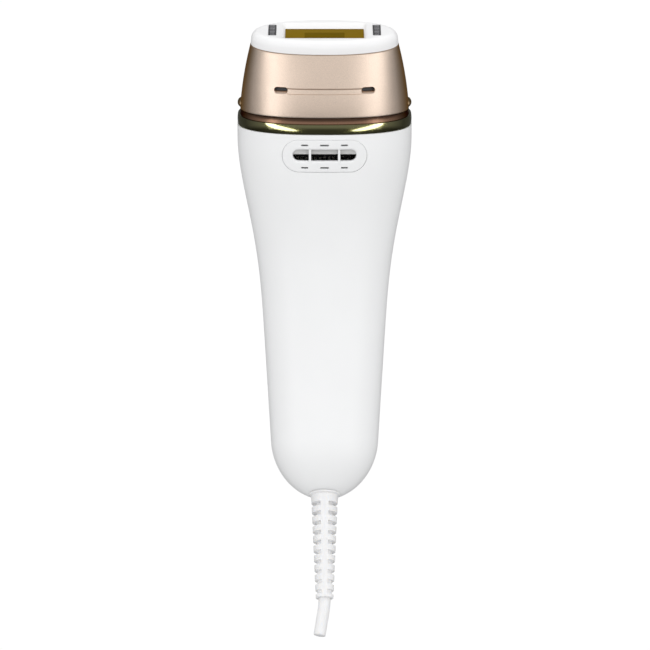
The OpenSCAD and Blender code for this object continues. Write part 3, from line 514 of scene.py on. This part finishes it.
def half_shell(name, side):
    outer, inner = [], []
    for i in range(SHELL_ROWS + SHELL_TAIL_ROWS + 1):
        if i <= SHELL_ROWS:
            out_s = in_s = TAIL_START * i / SHELL_ROWS
        else:
            bow = math.sin(math.pi / 2 * (i - SHELL_ROWS) / SHELL_TAIL_ROWS)
            out_s, in_s = TAIL_START + TAIL_L * bow, TAIL_START + (TAIL_L - WALL) * bow
        outer.append(half_row(out_s, side, 0.0, SEAM_SOFT))
        inner.append(half_row(in_s, side, WALL, INNER_SOFT))
    rings = [o + i[::-1] for o, i in zip(outer, inner)]
    points, faces = grid(rings, cap=False)
    across, last = len(outer[0]), len(rings[0]) - 1
    faces += [(j, j + 1, last - j - 1, last - j) for j in range(across - 1)]
    return build(name, (points, faces))


def boot_hole():
    profile = ((BOOT_HOLE_R, HOLE_TOP), (BOOT_HOLE_R, BOOT_SEAT_Z), (BOOT_SEAT_R, BOOT_SEAT_Z),
        (BOOT_SEAT_R, SEAT_LOW))
    return grid([place(BOOT, at_height(circle(r, HOLE_STEPS), z)) for r, z in profile])


def intake_slot(i):
    x = INTAKE_PITCH * (i - INTAKE_SLOTS // 2)
    return rounded_box(VENT, (x - INTAKE_L / 2, INTAKE_REACH[0], -INTAKE_H / 2),
        (x + INTAKE_L / 2, INTAKE_REACH[1], INTAKE_H / 2), INTAKE_ROUND)


front = half_shell("front_shell_visual", 1)
openings = (shifted(stadium(TREAT_L + 2 * TRIM_W, TREAT_H + 2 * TRIM_W), 0, TREAT_Z),
    shifted(circle(MODE_D / 2 + MODE_GAP), 0, MODE_Z), shifted(stadium(LENS_L, LENS_H), 0, LENS_Z))
carve(front, [boot_hole()] + [prism_y(BOARDS, outline, *BACK_REACH) for outline in openings]
    + [intake_slot(i) for i in range(INTAKE_SLOTS)])
piece(front, "handle", "white_gloss", "front_shell")

rear = half_shell("rear_shell_visual", -1)
carve(rear, [boot_hole(), prism_y(VENT, stadium(VENT_L, VENT_H), *FRONT_REACH)])
piece(rear, "handle", "white_gloss", "rear_shell")

# ---------------------------------------------------------------- collar
COLLAR_STEPS, BAND_STEPS, STEP_STEPS = 240, 12, 8
RIM_IN = 0.04
RIM_W, RIM_D = NECK_W / 2 - RIM_IN, NECK_D / 2 - RIM_IN
BAND_FOOT, BAND_TOP, BAND_BOW = 0.18, 3.75, 0.16
STEP_IN, STEP_HOLLOW, STEP_LEAN, STEP_MORE_D, STEP_EDGE = 0.95, 0.12, 0.15, 0.05, 0.08
# a level is (inset at the sides, inset at front and back, height)
BELOW_BAND = ((4.0, 4.1, -0.8), (2.2, 2.35, -0.8), (2.2, 2.35, 0.05), (0.4, 0.4, 0.05))
ABOVE_BAND = ((0.32, 0.32, BAND_TOP + 0.12), (0.6, 0.6, BAND_TOP + 0.2), (2.0, 2.05, BAND_TOP + 0.2),
    (3.0, 3.15, 1.0), (4.0, 4.1, 1.0))
BELOW_STEP = ((3.0, 3.15, BAND_TOP - 0.2), (0.9, 0.95, BAND_TOP - 0.2))
ABOVE_STEP = ((1.25, 1.3, COLLAR_H), (2.9, 3.05, COLLAR_H), (3.0, 3.15, COLLAR_H - 0.1))


def collar_ring(inset_w, inset_d, z):
    outline = oval(RIM_W - inset_w, RIM_D - inset_d, NECK_CORNER, COLLAR_STEPS)
    return place(NECK, at_height(outline, z))


def band_level(t):
    z = mix(BAND_FOOT, BAND_TOP, t)
    bow = BAND_BOW * (2 * (z - BAND_FOOT) / (BAND_TOP - BAND_FOOT) - 1) ** 2
    return bow, bow, z


def step_level(t):
    hollow = STEP_IN + STEP_HOLLOW * math.sin(math.pi * t) + STEP_LEAN * t
    return hollow, hollow + STEP_MORE_D, mix(BAND_TOP, COLLAR_H - STEP_EDGE, t)


def collar_part(name, *levels):
    return build(name, grid([collar_ring(*level) for level in levels], wrap=True), FINE_SHARP)


band_levels = [band_level(i / BAND_STEPS) for i in range(BAND_STEPS + 1)]
collar = collar_part("collar_visual", *BELOW_BAND, *band_levels, *ABOVE_BAND)
piece(collar, "handle", "bronze_chrome", "collar_ring")

step_levels = [step_level(i / STEP_STEPS) for i in range(STEP_STEPS + 1)]
step = collar_part("collar_step", *BELOW_STEP, *step_levels, *ABOVE_STEP)
# painted reflection: the step keeps the collar's slot but is coloured copper for the gold head that it reflects
piece(step, "handle", "bronze_chrome", finish="chrome_painted_gold_reflection")

# ---------------------------------------------------------------- vent
LIP_IN = (VENT_H - VENT_OPEN_H) / 2 - VENT_GAP
# (inset, proud) over the rim from outside, and (distance from the lip, depth) down into the opening
VENT_RIM = [(0.0, -1.9), (0.0, -0.22), (0.06, -0.08), (0.2, -0.01), (0.5, 0.0), (1.6, 0.0), (2.7, 0.0)]
VENT_LIP = ((0.8, 0.0), (0.5, 0.06), (0.25, 0.2), (0.07, 0.42), (0.0, 0.7), (0.0, 1.9))
SLIT_XS, SLIT_LS, SLIT_ZS = (-7.5, 0.0, 7.5), (2.7, 3.4, 2.7), (4.2, -4.5)
SLIT_H, SLIT_POINTS = 0.62, (8, 4)
RIB_X, RIB_HALF_W, RIB_HALF_H, RIB_SUNK, RIB_DEEP, RIB_ROUND = 5.5, 0.46, 2.6, 0.15, 1.9, 0.22
LOUVRE_HALF_L, LOUVRE_SUNK, LOUVRE_DEEP = 12.2, 2.6, 3.3
LOUVRE_LOW, LOUVRE_HIGH, LOUVRE_ROUND = 0.3, 2.9, 0.2

vent_levels = VENT_RIM + [(LIP_IN - back, -deep) for back, deep in VENT_LIP]
vent = build("vent_visual", on_handle(VENT, -1, VENT_L - 2 * VENT_GAP, VENT_H - 2 * VENT_GAP, 0,
    vent_levels, wrap=True, rise=VENT_OPEN_Z / LIP_IN))
carve(vent, [prism_y(VENT, shifted(stadium(length, SLIT_H, *SLIT_POINTS), x, z), *FRONT_REACH)
    for x, length in zip(SLIT_XS, SLIT_LS) for z in SLIT_ZS])
piece(vent, "handle", "vent_white", "vent_grille")

ribs = []
for x in (-RIB_X, RIB_X):
    y = skin_y(VENT, x, 0, -1)
    ribs.append(rounded_box(VENT, (x - RIB_HALF_W, y + RIB_SUNK, -RIB_HALF_H),
        (x + RIB_HALF_W, y + RIB_DEEP, RIB_HALF_H), RIB_ROUND))
piece(build("vent_ribs", merge(*ribs)), "handle", "vent_white")

y = skin_y(VENT, 0, 0, -1)
louvre = rounded_box(VENT, (-LOUVRE_HALF_L, y + LOUVRE_SUNK, LOUVRE_LOW),
    (LOUVRE_HALF_L, y + LOUVRE_DEEP, LOUVRE_HIGH), LOUVRE_ROUND)
piece(build("vent_louvre", louvre), "handle", "light_plastic")

# ---------------------------------------------------------------- controls
# (inset, proud) over the rounded edge of each
TREAT_EDGE = [(0.0, -3.0), (0.0, 0.35), (0.08, 0.62), (0.3, 0.82), (0.7, 0.9)]
MODE_EDGE = [(0.0, -3.0), (0.0, 0.25), (0.07, 0.45), (0.22, 0.57), (0.45, 0.6)]
TRIM_EDGE = [(0.0, -1.9), (0.0, 0.1), (0.1, 0.27), (0.3, 0.34), (0.9, 0.35), (1.5, 0.33), (1.72, 0.25),
    (1.8, 0.1), (1.8, -1.9)]
LENS_EDGE = [(0.0, -2.9), (0.0, -0.1), (0.08, -0.02), (0.25, 0.0), (0.8, 0.0), (1.22, 0.0)]
# (inset of the middle, depth, steps) of each button's hollow
TREAT_DISH, MODE_DISH = (7.95, 0.45, 8), (3.98, 0.25, 6)


def dished(edge, middle, dish, steps):
    """The edge and then a hollow that is dish deep at an inset of middle."""
    inset, proud = edge[-1]
    shares = [i / steps for i in range(1, steps + 1)]
    return edge + [(mix(inset, middle, t), proud - dish * ease(t)) for t in shares]


def control(name, length, height, z, levels, wrap=False):
    return build(name, on_handle(BOARDS, 1, length, height, z, levels, wrap))


piece(control("treatment_button_visual", TREAT_L, TREAT_H, TREAT_Z, dished(TREAT_EDGE, *TREAT_DISH)),
    "treatment_button", "white_gloss", "treatment_button")
piece(control("button_trim_visual", TREAT_L + 2 * TRIM_W - 2 * INSERT_GAP,
    TREAT_H + 2 * TRIM_W - 2 * INSERT_GAP, TREAT_Z, TRIM_EDGE, wrap=True),
    "handle", "rose_gold", "button_trim")
piece(control("mode_button_visual", MODE_D, MODE_D, MODE_Z, dished(MODE_EDGE, *MODE_DISH)),
    "mode_button", "white_gloss", "mode_button")
piece(control("indicator_lens_visual", LENS_L - 2 * INSERT_GAP, LENS_H - 2 * INSERT_GAP, LENS_Z, LENS_EDGE),
    "handle", "lens", "indicator_lens")

# ---------------------------------------------------------------- cord guard and cord
BOOT_STEPS, CORD_STEPS, CORD_INSIDE = 160, 40, 12.0
BOOT_BASE_R, BOOT_TIP_R, CORE_BASE_R, CORE_TIP_R = 5.2, 3.35, 3.2, 2.75
RIB_BASE, RIB_TIP = 1.75, 1.2
NOTCH_HALF, NOTCH_SOFT, NOTCH_SIDE = 0.75, 0.1, (-0.12, 0.16)
# (height, radius) of the flange above the notches, and of the tip, from its end, below them
FLANGE = ((3.1, 3.9), (0.0, 3.9), (0.0, 5.7), (-0.07, 5.96), (-0.25, 6.05), (-0.5, 6.02), (-0.68, 5.84),
    (-0.76, 5.5), (-0.95, 5.24))
TIP = ((0.7, 3.38), (0.2, 3.36), (0.05, 3.2), (0.0, 2.9), (0.0, 2.5), (0.12, 2.36), (4.0, 2.36))
NOTCH_LEVELS = (-1.0, -0.86, -0.78, -0.7, -0.62, -0.45, 0.0, 0.45, 0.62, 0.7, 0.78, 0.86, 1.0)
# (distance from its end, inset) of the rings at the cord's cut end
CORD_TIP = ((0.3, 0.0), (0.08, 0.07), (0.0, 0.25))
NOTCH_MIDDLES = [-NOTCH_FIRST - NOTCH_PITCH * i for i in range(NOTCHES)]


def notched_r(a, z):
    """Radius of the guard's cone at angle a and height z; a spine in front and one behind stay uncut."""
    t = -z / BOOT_L
    outer, core = mix(BOOT_BASE_R, BOOT_TIP_R, t), mix(CORE_BASE_R, CORE_TIP_R, t)
    near = min(abs(z - middle) for middle in NOTCH_MIDDLES)
    off_rib = abs(outer * math.cos(a)) - mix(RIB_BASE, RIB_TIP, t)
    along = 1 - between(NOTCH_HALF - NOTCH_SOFT, NOTCH_HALF + NOTCH_SOFT, near)
    return mix(outer, core, along * between(*NOTCH_SIDE, off_rib))


def boot_ring(z, radius_at):
    angles = [2 * math.pi * i / BOOT_STEPS for i in range(BOOT_STEPS)]
    ring = [(a, radius_at(a, z)) for a in angles]
    return place(BOOT, [(r * math.cos(a), r * math.sin(a), z) for a, r in ring])


cone_levels = sorted({round(middle + d, 4) for middle in NOTCH_MIDDLES for d in NOTCH_LEVELS},
    reverse=True)
boot_rows = [boot_ring(z, lambda a, z, r=r: r) for z, r in FLANGE]
boot_rows += [boot_ring(z, notched_r) for z in cone_levels]
boot_rows += [place(BOOT, at_height(circle(r, BOOT_STEPS), z - BOOT_L)) for z, r in TIP]
piece(build("cord_boot_visual", grid(boot_rows)), "handle", "flex_white", "cord_boot")


def cord_ring(along, r):
    """Ring round the cord at a distance along it from the tip of the guard."""
    bow = CORD_BEND_R * math.radians(CORD_BEND)
    a = CORD_BEND * clamp(along / bow)
    x = -CORD_BEND_R * (1 - cosd(a)) - sind(a) * max(0.0, along - bow)
    z = -BOOT_L - CORD_BEND_R * sind(a) - cosd(a) * max(0.0, along - bow) - min(0.0, along)
    return place(BOOT @ Matrix.Translation((x, 0, z)) @ turn(a, "Y"), at_height(circle(r), 0))


cord_l = CORD_BEND_R * math.radians(CORD_BEND) + CORD_END
cord_rows = [cord_ring(mix(-CORD_INSIDE, cord_l - CORD_TIP[0][0], i / CORD_STEPS), CORD_D / 2)
    for i in range(CORD_STEPS)]
cord_rows += [cord_ring(cord_l - back, CORD_D / 2 - inset) for back, inset in CORD_TIP]
piece(build("power_cord_visual", grid(cord_rows)), "handle", "flex_white", "power_cord")

# ---------------------------------------------------------------- treatment head
HEAD_ROWS, HEAD_STEPS, HEAD_INNER_ROWS, GROOVE_STEPS = 56, 260, 8, 60
HEAD_FLARE, HEAD_SOLVE_START, HEAD_ROUNDS = 0.45, 0.4, 12
HEAD_BOTTOM = COLLAR_H + HEAD_FOOT
SEAM_UP = FACE_UP - BEZEL_H * cosd(FACE_LEAN)
SEAM_BACK = -FACE_BACK + BEZEL_H * sind(FACE_LEAN)
# places up the head from 0 to 1: its outer and inner walls, then (place, inset) round both its edges
HEAD_SPAN, HEAD_INNER_SPAN = (0.012, 0.985), (0.98, 0.02)
HEAD_LOWER_EDGE = ((0.0, HEAD_WALL), (0.0, 0.25), (0.004, 0.08))
HEAD_UPPER_EDGE = ((0.993, 0.05), (0.997, 0.2), (0.997, HEAD_WALL))
# (inset, how much lower the top edge is, depth) down into a slot, starting at its floor
SLOT_LEVELS = ((0.35, 0.7, 3.5), (0.35, 0.7, 1.1), (0.3, 0.5, 0.8), (0.12, 0.1, 0.12), (0.0, 0.0, 0.0),
    (-0.4, 0.0, -0.5))
# (height, depth) across the groove between the slots, which runs up to GROOVE_END from their middles
GROOVE = ((-1.5, -0.6), (-1.16, 0.0), (-1.08, 0.24), (0.6, 0.32), (0.66, 0.9), (1.08, 0.9), (1.12, 0.0),
    (1.3, -0.6))
GROOVE_END, SLOT_POINTS = 2.3, (12, 8)


def head_half(t, inset):
    k = HEAD_FLARE * t + (1 - HEAD_FLARE) * t * t
    return (mix(HEAD_W, SEAM_W / 2, k) - inset, mix(HEAD_D, SEAM_D / 2, k) - inset,
        mix(NECK_CORNER, FACE_CORNER, t))


def head_ring(t, inset=0.0):
    a, up = FACE_LEAN * t, mix(HEAD_BOTTOM, SEAM_UP, t)
    return place(NECK, [(x, SEAM_BACK * t + y * cosd(a), up + y * sind(a))
        for x, y in oval(*head_half(t, inset), HEAD_STEPS)])


def head_y(x, z):
    """y in the neck's frame of the head's vent-side surface at width x and height z."""
    t = HEAD_SOLVE_START
    for _ in range(HEAD_ROUNDS):
        a, b, n = head_half(t, 0.0)
        y = -b * max(0.0, 1 - abs(x / a) ** n) ** (1 / n)
        t = (z - y * sind(FACE_LEAN * t) - HEAD_BOTTOM) / (SEAM_UP - HEAD_BOTTOM)
    return SEAM_BACK * t + y * cosd(FACE_LEAN * t)


def slot_cutter(k):
    rows = []
    for inset, drop, sunk in SLOT_LEVELS:
        outline = stadium(SLOT_L - 2 * inset, SLOT_H - 2 * inset - drop, *SLOT_POINTS)
        outline = shifted(outline, k * SLOT_X, SLOT_UP + drop / 2)
        rows.append(place(NECK, [(x, head_y(x, z) + sunk, z) for x, z in outline]))
    return grid(rows)


def groove_cutter():
    groove_up = SLOT_UP - GROOVE_DROP
    rows = []
    for i in range(GROOVE_STEPS + 1):
        x = mix(-SLOT_X + GROOVE_END, SLOT_X - GROOVE_END, i / GROOVE_STEPS)
        rows.append(place(NECK, [(x, head_y(x, groove_up + up) + sunk, groove_up + up)
            for up, sunk in GROOVE]))
    return grid(rows)


head_rows = [head_ring(*level) for level in HEAD_LOWER_EDGE]
head_rows += [head_ring(mix(*HEAD_SPAN, i / HEAD_ROWS)) for i in range(HEAD_ROWS + 1)]
head_rows += [head_ring(*level) for level in HEAD_UPPER_EDGE]
head_rows += [head_ring(mix(*HEAD_INNER_SPAN, i / HEAD_INNER_ROWS), HEAD_WALL)
    for i in range(HEAD_INNER_ROWS + 1)]
head = build("head_shell_visual", grid(head_rows, wrap=True))
carve(head, [slot_cutter(k) for k in (-1, 1)])
carve(head, [groove_cutter()])
piece(head, "head", "rose_gold", "head_shell")

NUB_X, NUB_R, NUB_HALF, NUB_STEPS, NUB_FULL = 31.5, 1.75, 4.5, 12, 0.8
nubs = []
for k in (-1, 1):
    rows = []
    for i in range(-NUB_STEPS, NUB_STEPS + 1):
        y = NUB_HALF * math.sin(math.pi / (2 * NUB_STEPS) * i)
        r = NUB_R * math.cos(math.pi / (2 * NUB_STEPS + 1) * i) ** NUB_FULL
        rows.append(place(NECK, [(k * NUB_X + x, y, HEAD_BOTTOM + NUB_R + z) for x, z in circle(r)]))
    nubs.append(grid(rows))
# painted shade: the nubs keep the rose gold slot but take its darker copy, matching the dark side edges of the
# head
piece(build("latch_nubs", merge(*nubs)), "head", "rose_gold", finish="nub_gold_painted_shade")

# painted shade: dark pieces just inside the head's wall behind the two slots stand for the shade inside them
WELL_L, WELL_H, WELL_DEPTHS = SLOT_L + 0.8, SLOT_H + 0.6, (HEAD_WALL + 0.9, HEAD_WALL + 0.1)
shade_wells = []
for k in (-1, 1):
    outline = shifted(stadium(WELL_L, WELL_H, *SLOT_POINTS), k * SLOT_X, SLOT_UP)
    shade_wells.append(grid([place(NECK, [(x, head_y(x, z) + sunk, z) for x, z in outline])
        for sunk in WELL_DEPTHS]))
piece(build("slot_shade_wells", merge(*shade_wells)), "head", "dark_plastic")

# ---------------------------------------------------------------- white face, glass and sensors
BEZEL_UNDER, BEZEL_WALL, BEZEL_IN, BEZEL_FLAT_IN, ROUND_STEPS = -3.4, 2.2, 0.2, 0.5, 18
INSET_D_SHARE = 0.85
# (height, inset) of the rings under the face and up to its lower edge
BEZEL_FOOT = ((BEZEL_UNDER, 3.6), (BEZEL_UNDER, BEZEL_WALL), (-BEZEL_H + 0.05, BEZEL_WALL),
    (-BEZEL_H + 0.05, 0.25), (-BEZEL_H + 0.2, 0.08), (-BEZEL_H + 0.5, 0.07))
LIP, LIP_SOFT, THROUGH = -WINDOW_SUNK - 0.02, 0.16, -9
RECESS_LEVELS, RECESS_R, RECESS_FLARE = (LIP, -LIP_SOFT, -0.05, 0.02, 0.5), 0.5, 0.4
GLASS_TOP, GLASS_H, GLASS_LAP, GLASS_PLAY = -WINDOW_SUNK - 0.05, 1.5, 0.8, 0.1
GLASS_ROUND, GLASS_SEAT_ROUND = 0.25, 0.3
APERTURE_L, APERTURE_NEAR, APERTURE_FAR = 15.4, -4.2, 2.8
APERTURE_DEEP, APERTURE_PROUD, APERTURE_ROUND = 0.4, 0.02, 0.3
# (height, growth) of the rings up a sensor's pocket
POCKET = ((THROUGH, 0.0), (-0.1, 0.0), (-0.03, 0.04), (0.02, 0.14), (0.5, 1.0))
POCKET_R, SENSOR_ROUND = 0.4, 0.35
BARS_EACH_WAY, BAR_PITCH, BAR_HALF_W, BAR_HALF_H = 3, 1.7, 0.95, 0.36
BAR_UNDER, BAR_PROUD, BAR_ROUND = -0.5, 0.06, 0.12


def bezel_ring(z, inset):
    outline = oval(SEAM_W / 2 - inset, SEAM_D / 2 - INSET_D_SHARE * inset, FACE_CORNER, HEAD_STEPS)
    return place(FACE, at_height(outline, z))


def round_level(a):
    """Height and inset of the face's rounded edge at angle a, from its upright side to its flat top."""
    return -(BEZEL_H - BEZEL_SIDE) * (1 - sind(a)), BEZEL_ROUND * (1 - cosd(a)) + BEZEL_IN


def recess_ring(z):
    soft = max(0.0, z + LIP_SOFT)
    length = WINDOW_L + 2 * (END_SLOPE * (z - LIP) + soft)
    width = WINDOW_W + 2 * (SIDE_SLOPE * (z - LIP) + soft)
    return place(FACE, at_height(rounded_rect(length, width, RECESS_R + RECESS_FLARE * (z - LIP)), z))


def pocket_ring(k, z, growth):
    outline = rounded_rect(SENSOR_W + growth, SENSOR_L + growth, POCKET_R + growth / 2)
    return place(FACE, at_height(shifted(outline, k * SENSOR_X, SENSOR_Y), z))


def face_block(lap, z0, z1, r):
    """Block under the window that is larger than it by lap on every side."""
    x, y = WINDOW_L / 2 + lap, WINDOW_W / 2 + lap
    return rounded_box(FACE, (-x, -y, z0), (x, y, z1), r)


bezel_rows = [bezel_ring(*level) for level in BEZEL_FOOT]
bezel_rows += [bezel_ring(*round_level(90 / ROUND_STEPS * i)) for i in range(ROUND_STEPS + 1)]
bezel_rows.append(bezel_ring(0.0, BEZEL_ROUND + BEZEL_FLAT_IN))
bezel = build("face_bezel_visual", grid(bezel_rows))
carve(bezel, [grid([recess_ring(z) for z in RECESS_LEVELS]),
    face_block(GLASS_LAP + GLASS_PLAY, THROUGH, -WINDOW_SUNK, GLASS_SEAT_ROUND)]
    + [grid([pocket_ring(k, *level) for level in POCKET]) for k in (-1, 1)])
piece(bezel, "head", "face_white", "face_bezel")

glass = build("filter_glass_visual", face_block(GLASS_LAP, GLASS_TOP - GLASS_H, GLASS_TOP, GLASS_ROUND))
piece(glass, "head", "amber_glass", "filter_glass")
# painted shade: the aperture is the amber glass, its slot, made darker where it lies over the opening beneath
aperture = rounded_box(FACE, (-APERTURE_L / 2, APERTURE_NEAR, GLASS_TOP - APERTURE_DEEP),
    (APERTURE_L / 2, APERTURE_FAR, GLASS_TOP + APERTURE_PROUD), APERTURE_ROUND)
piece(build("glass_aperture", aperture), "head", "amber_glass", finish="amber_painted_shade")

sensors, bars = [], []
half_x, half_y = SENSOR_W / 2 - INSERT_GAP, SENSOR_L / 2 - INSERT_GAP
for x in (-SENSOR_X, SENSOR_X):
    sensors.append(rounded_box(FACE, (x - half_x, SENSOR_Y - half_y, BEZEL_UNDER),
        (x + half_x, SENSOR_Y + half_y, -SENSOR_TOP), SENSOR_ROUND))
    for j in range(-BARS_EACH_WAY, BARS_EACH_WAY + 1):
        y = SENSOR_Y + BAR_PITCH * j
        bars.append(rounded_box(FACE, (x - BAR_HALF_W, y - BAR_HALF_H, BAR_UNDER),
            (x + BAR_HALF_W, y + BAR_HALF_H, BAR_PROUD - SENSOR_TOP), BAR_ROUND))
piece(build("skin_sensors_visual", merge(*sensors)), "head", "sensor_dark", "skin_sensors")
piece(build("sensor_bars", merge(*bars)), "head", "sensor_dark", finish="sensor_bar")

# ---------------------------------------------------------------- stage, lights and camera
CAMERA_SIDE, CAMERA_DROP, CAMERA_UP, CAMERA_FAR, VIEW_W = 0.17, 78.0, 4.0, 1200.0, 250.25
target = Vector((CAMERA_SIDE, NECK_Y, NECK_Z - CAMERA_DROP)) * MM
FLOOR_R, FLOOR_HOLE_R, FLOOR_GAP, WHITE = 8000, 1600, 0.5, 1.02

# a ring, so that the tent lights the object from below through the middle
floor_z = CAD_BOX[0][2] / MM - FLOOR_GAP
floor = build("floor", grid([at_height(circle(r), floor_z) for r in (FLOOR_HOLE_R, FLOOR_R)], cap=False))

paper = bpy.data.materials.new("floor_paper")
tree = blank_tree(paper)
where = node(tree, "TexCoord").outputs["Object"]
mottle = node(tree, "TexNoise", {"Vector": where, "Scale": 12.0}).outputs["Fac"]
pale = ramp(tree, mottle, to_low=0.78, to_high=0.84)
path = node(tree, "LightPath").outputs
matte = node(tree, "BsdfDiffuse", {"Color": pale}).outputs[0]
unseen = node(tree, "MixShader", {0: path["Is Glossy Ray"], 1: matte,
    2: node(tree, "BsdfTransparent").outputs[0]}).outputs[0]
bright = node(tree, "Emission", {"Color": (1, 1, 1, 1), "Strength": WHITE}).outputs[0]
both = node(tree, "MixShader", {0: path["Is Camera Ray"], 1: unseen, 2: bright}).outputs[0]
node(tree, "OutputMaterial", {"Surface": both})
floor.data.materials.append(paper)

# white to the camera, an even tent to matt surfaces, and bright in front but dark behind to glossy ones
world = bpy.data.worlds.new("studio")
bpy.context.scene.world = world
tree = blank_tree(world)
way = node(tree, "SeparateXYZ", {0: node(tree, "TexCoord").outputs["Generated"]}).outputs
path = node(tree, "LightPath").outputs
front_back = ramp(tree, way["Y"], -0.75, 0.35, 0.74, 0.13)
low = ramp(tree, way["Z"], -0.4, -0.2, 0.2, 1.0)
mirror = node(tree, "Math", {0: front_back, 1: low}, operation="MULTIPLY").outputs[0]
tent = ramp(tree, way["Z"], -0.6, 0.9, 0.7, 0.83)
inside = blended(tree, path["Is Glossy Ray"], tent, mirror)
seen = blended(tree, path["Is Camera Ray"], inside, (WHITE, WHITE, WHITE, 1.0))
node(tree, "OutputWorld", {"Surface": node(tree, "Background", {"Color": seen}).outputs[0]})


def softbox(name, azimuth, elevation, far, width, height, watts, roll=0, diffuse=True, glossy=True,
        shape="RECTANGLE", only=None):
    """Soft light aimed at the camera's target; azimuth 0 is the camera's side, + towards +X.

    A light with an only piece shines on that piece and on nothing else."""
    way = Vector((sind(azimuth) * cosd(elevation), -cosd(azimuth) * cosd(elevation), sind(elevation))) * far
    data = bpy.data.lights.new(name, "AREA")
    data.shape = shape
    data.size, data.size_y, data.energy = width, height, watts
    obj = bpy.data.objects.new(name, data)
    obj.location = target + way
    facing = (-way).to_track_quat("-Z", "Y").to_matrix().to_4x4()
    obj.rotation_euler = (facing @ turn(roll, "Z")).to_euler()
    obj.visible_diffuse, obj.visible_glossy = diffuse, glossy
    bpy.context.scene.collection.objects.link(obj)
    if only:
        obj.light_linking.receiver_collection = bpy.data.collections.new(name + "_lit")
        obj.light_linking.receiver_collection.objects.link(only)
    return obj


for side, k in (("left", -1), ("right", 1)):
    softbox("strip_" + side, azimuth=46 * k, elevation=14, far=0.9, width=0.26, height=1.2, watts=1.6,
        diffuse=False)
for side, k in (("left", -1), ("right", 1)):
    softbox("card_" + side, azimuth=37 * k, elevation=-10, far=0.8, width=0.68, height=0.2, watts=3.8,
        roll=40 * k, diffuse=False, shape="ELLIPSE", only=collar)
softbox("front", azimuth=0, elevation=8, far=1.4, width=1.2, height=1.2, watts=6.0, glossy=False)
softbox("top", azimuth=0, elevation=80, far=0.9, width=0.9, height=0.9, watts=2.0, glossy=False)

camera_data = bpy.data.cameras.new("camera")
camera_data.lens = camera_data.sensor_width * CAMERA_FAR / VIEW_W
camera = bpy.data.objects.new("camera", camera_data)
away = Vector((0, -cosd(CAMERA_UP), sind(CAMERA_UP)))
camera.location = target + away * CAMERA_FAR * MM
camera.rotation_euler = (-away).to_track_quat("-Z", "Y").to_euler()
bpy.context.scene.collection.objects.link(camera)
bpy.context.scene.camera = camera
bpy.context.scene.view_settings.view_transform = "Standard"
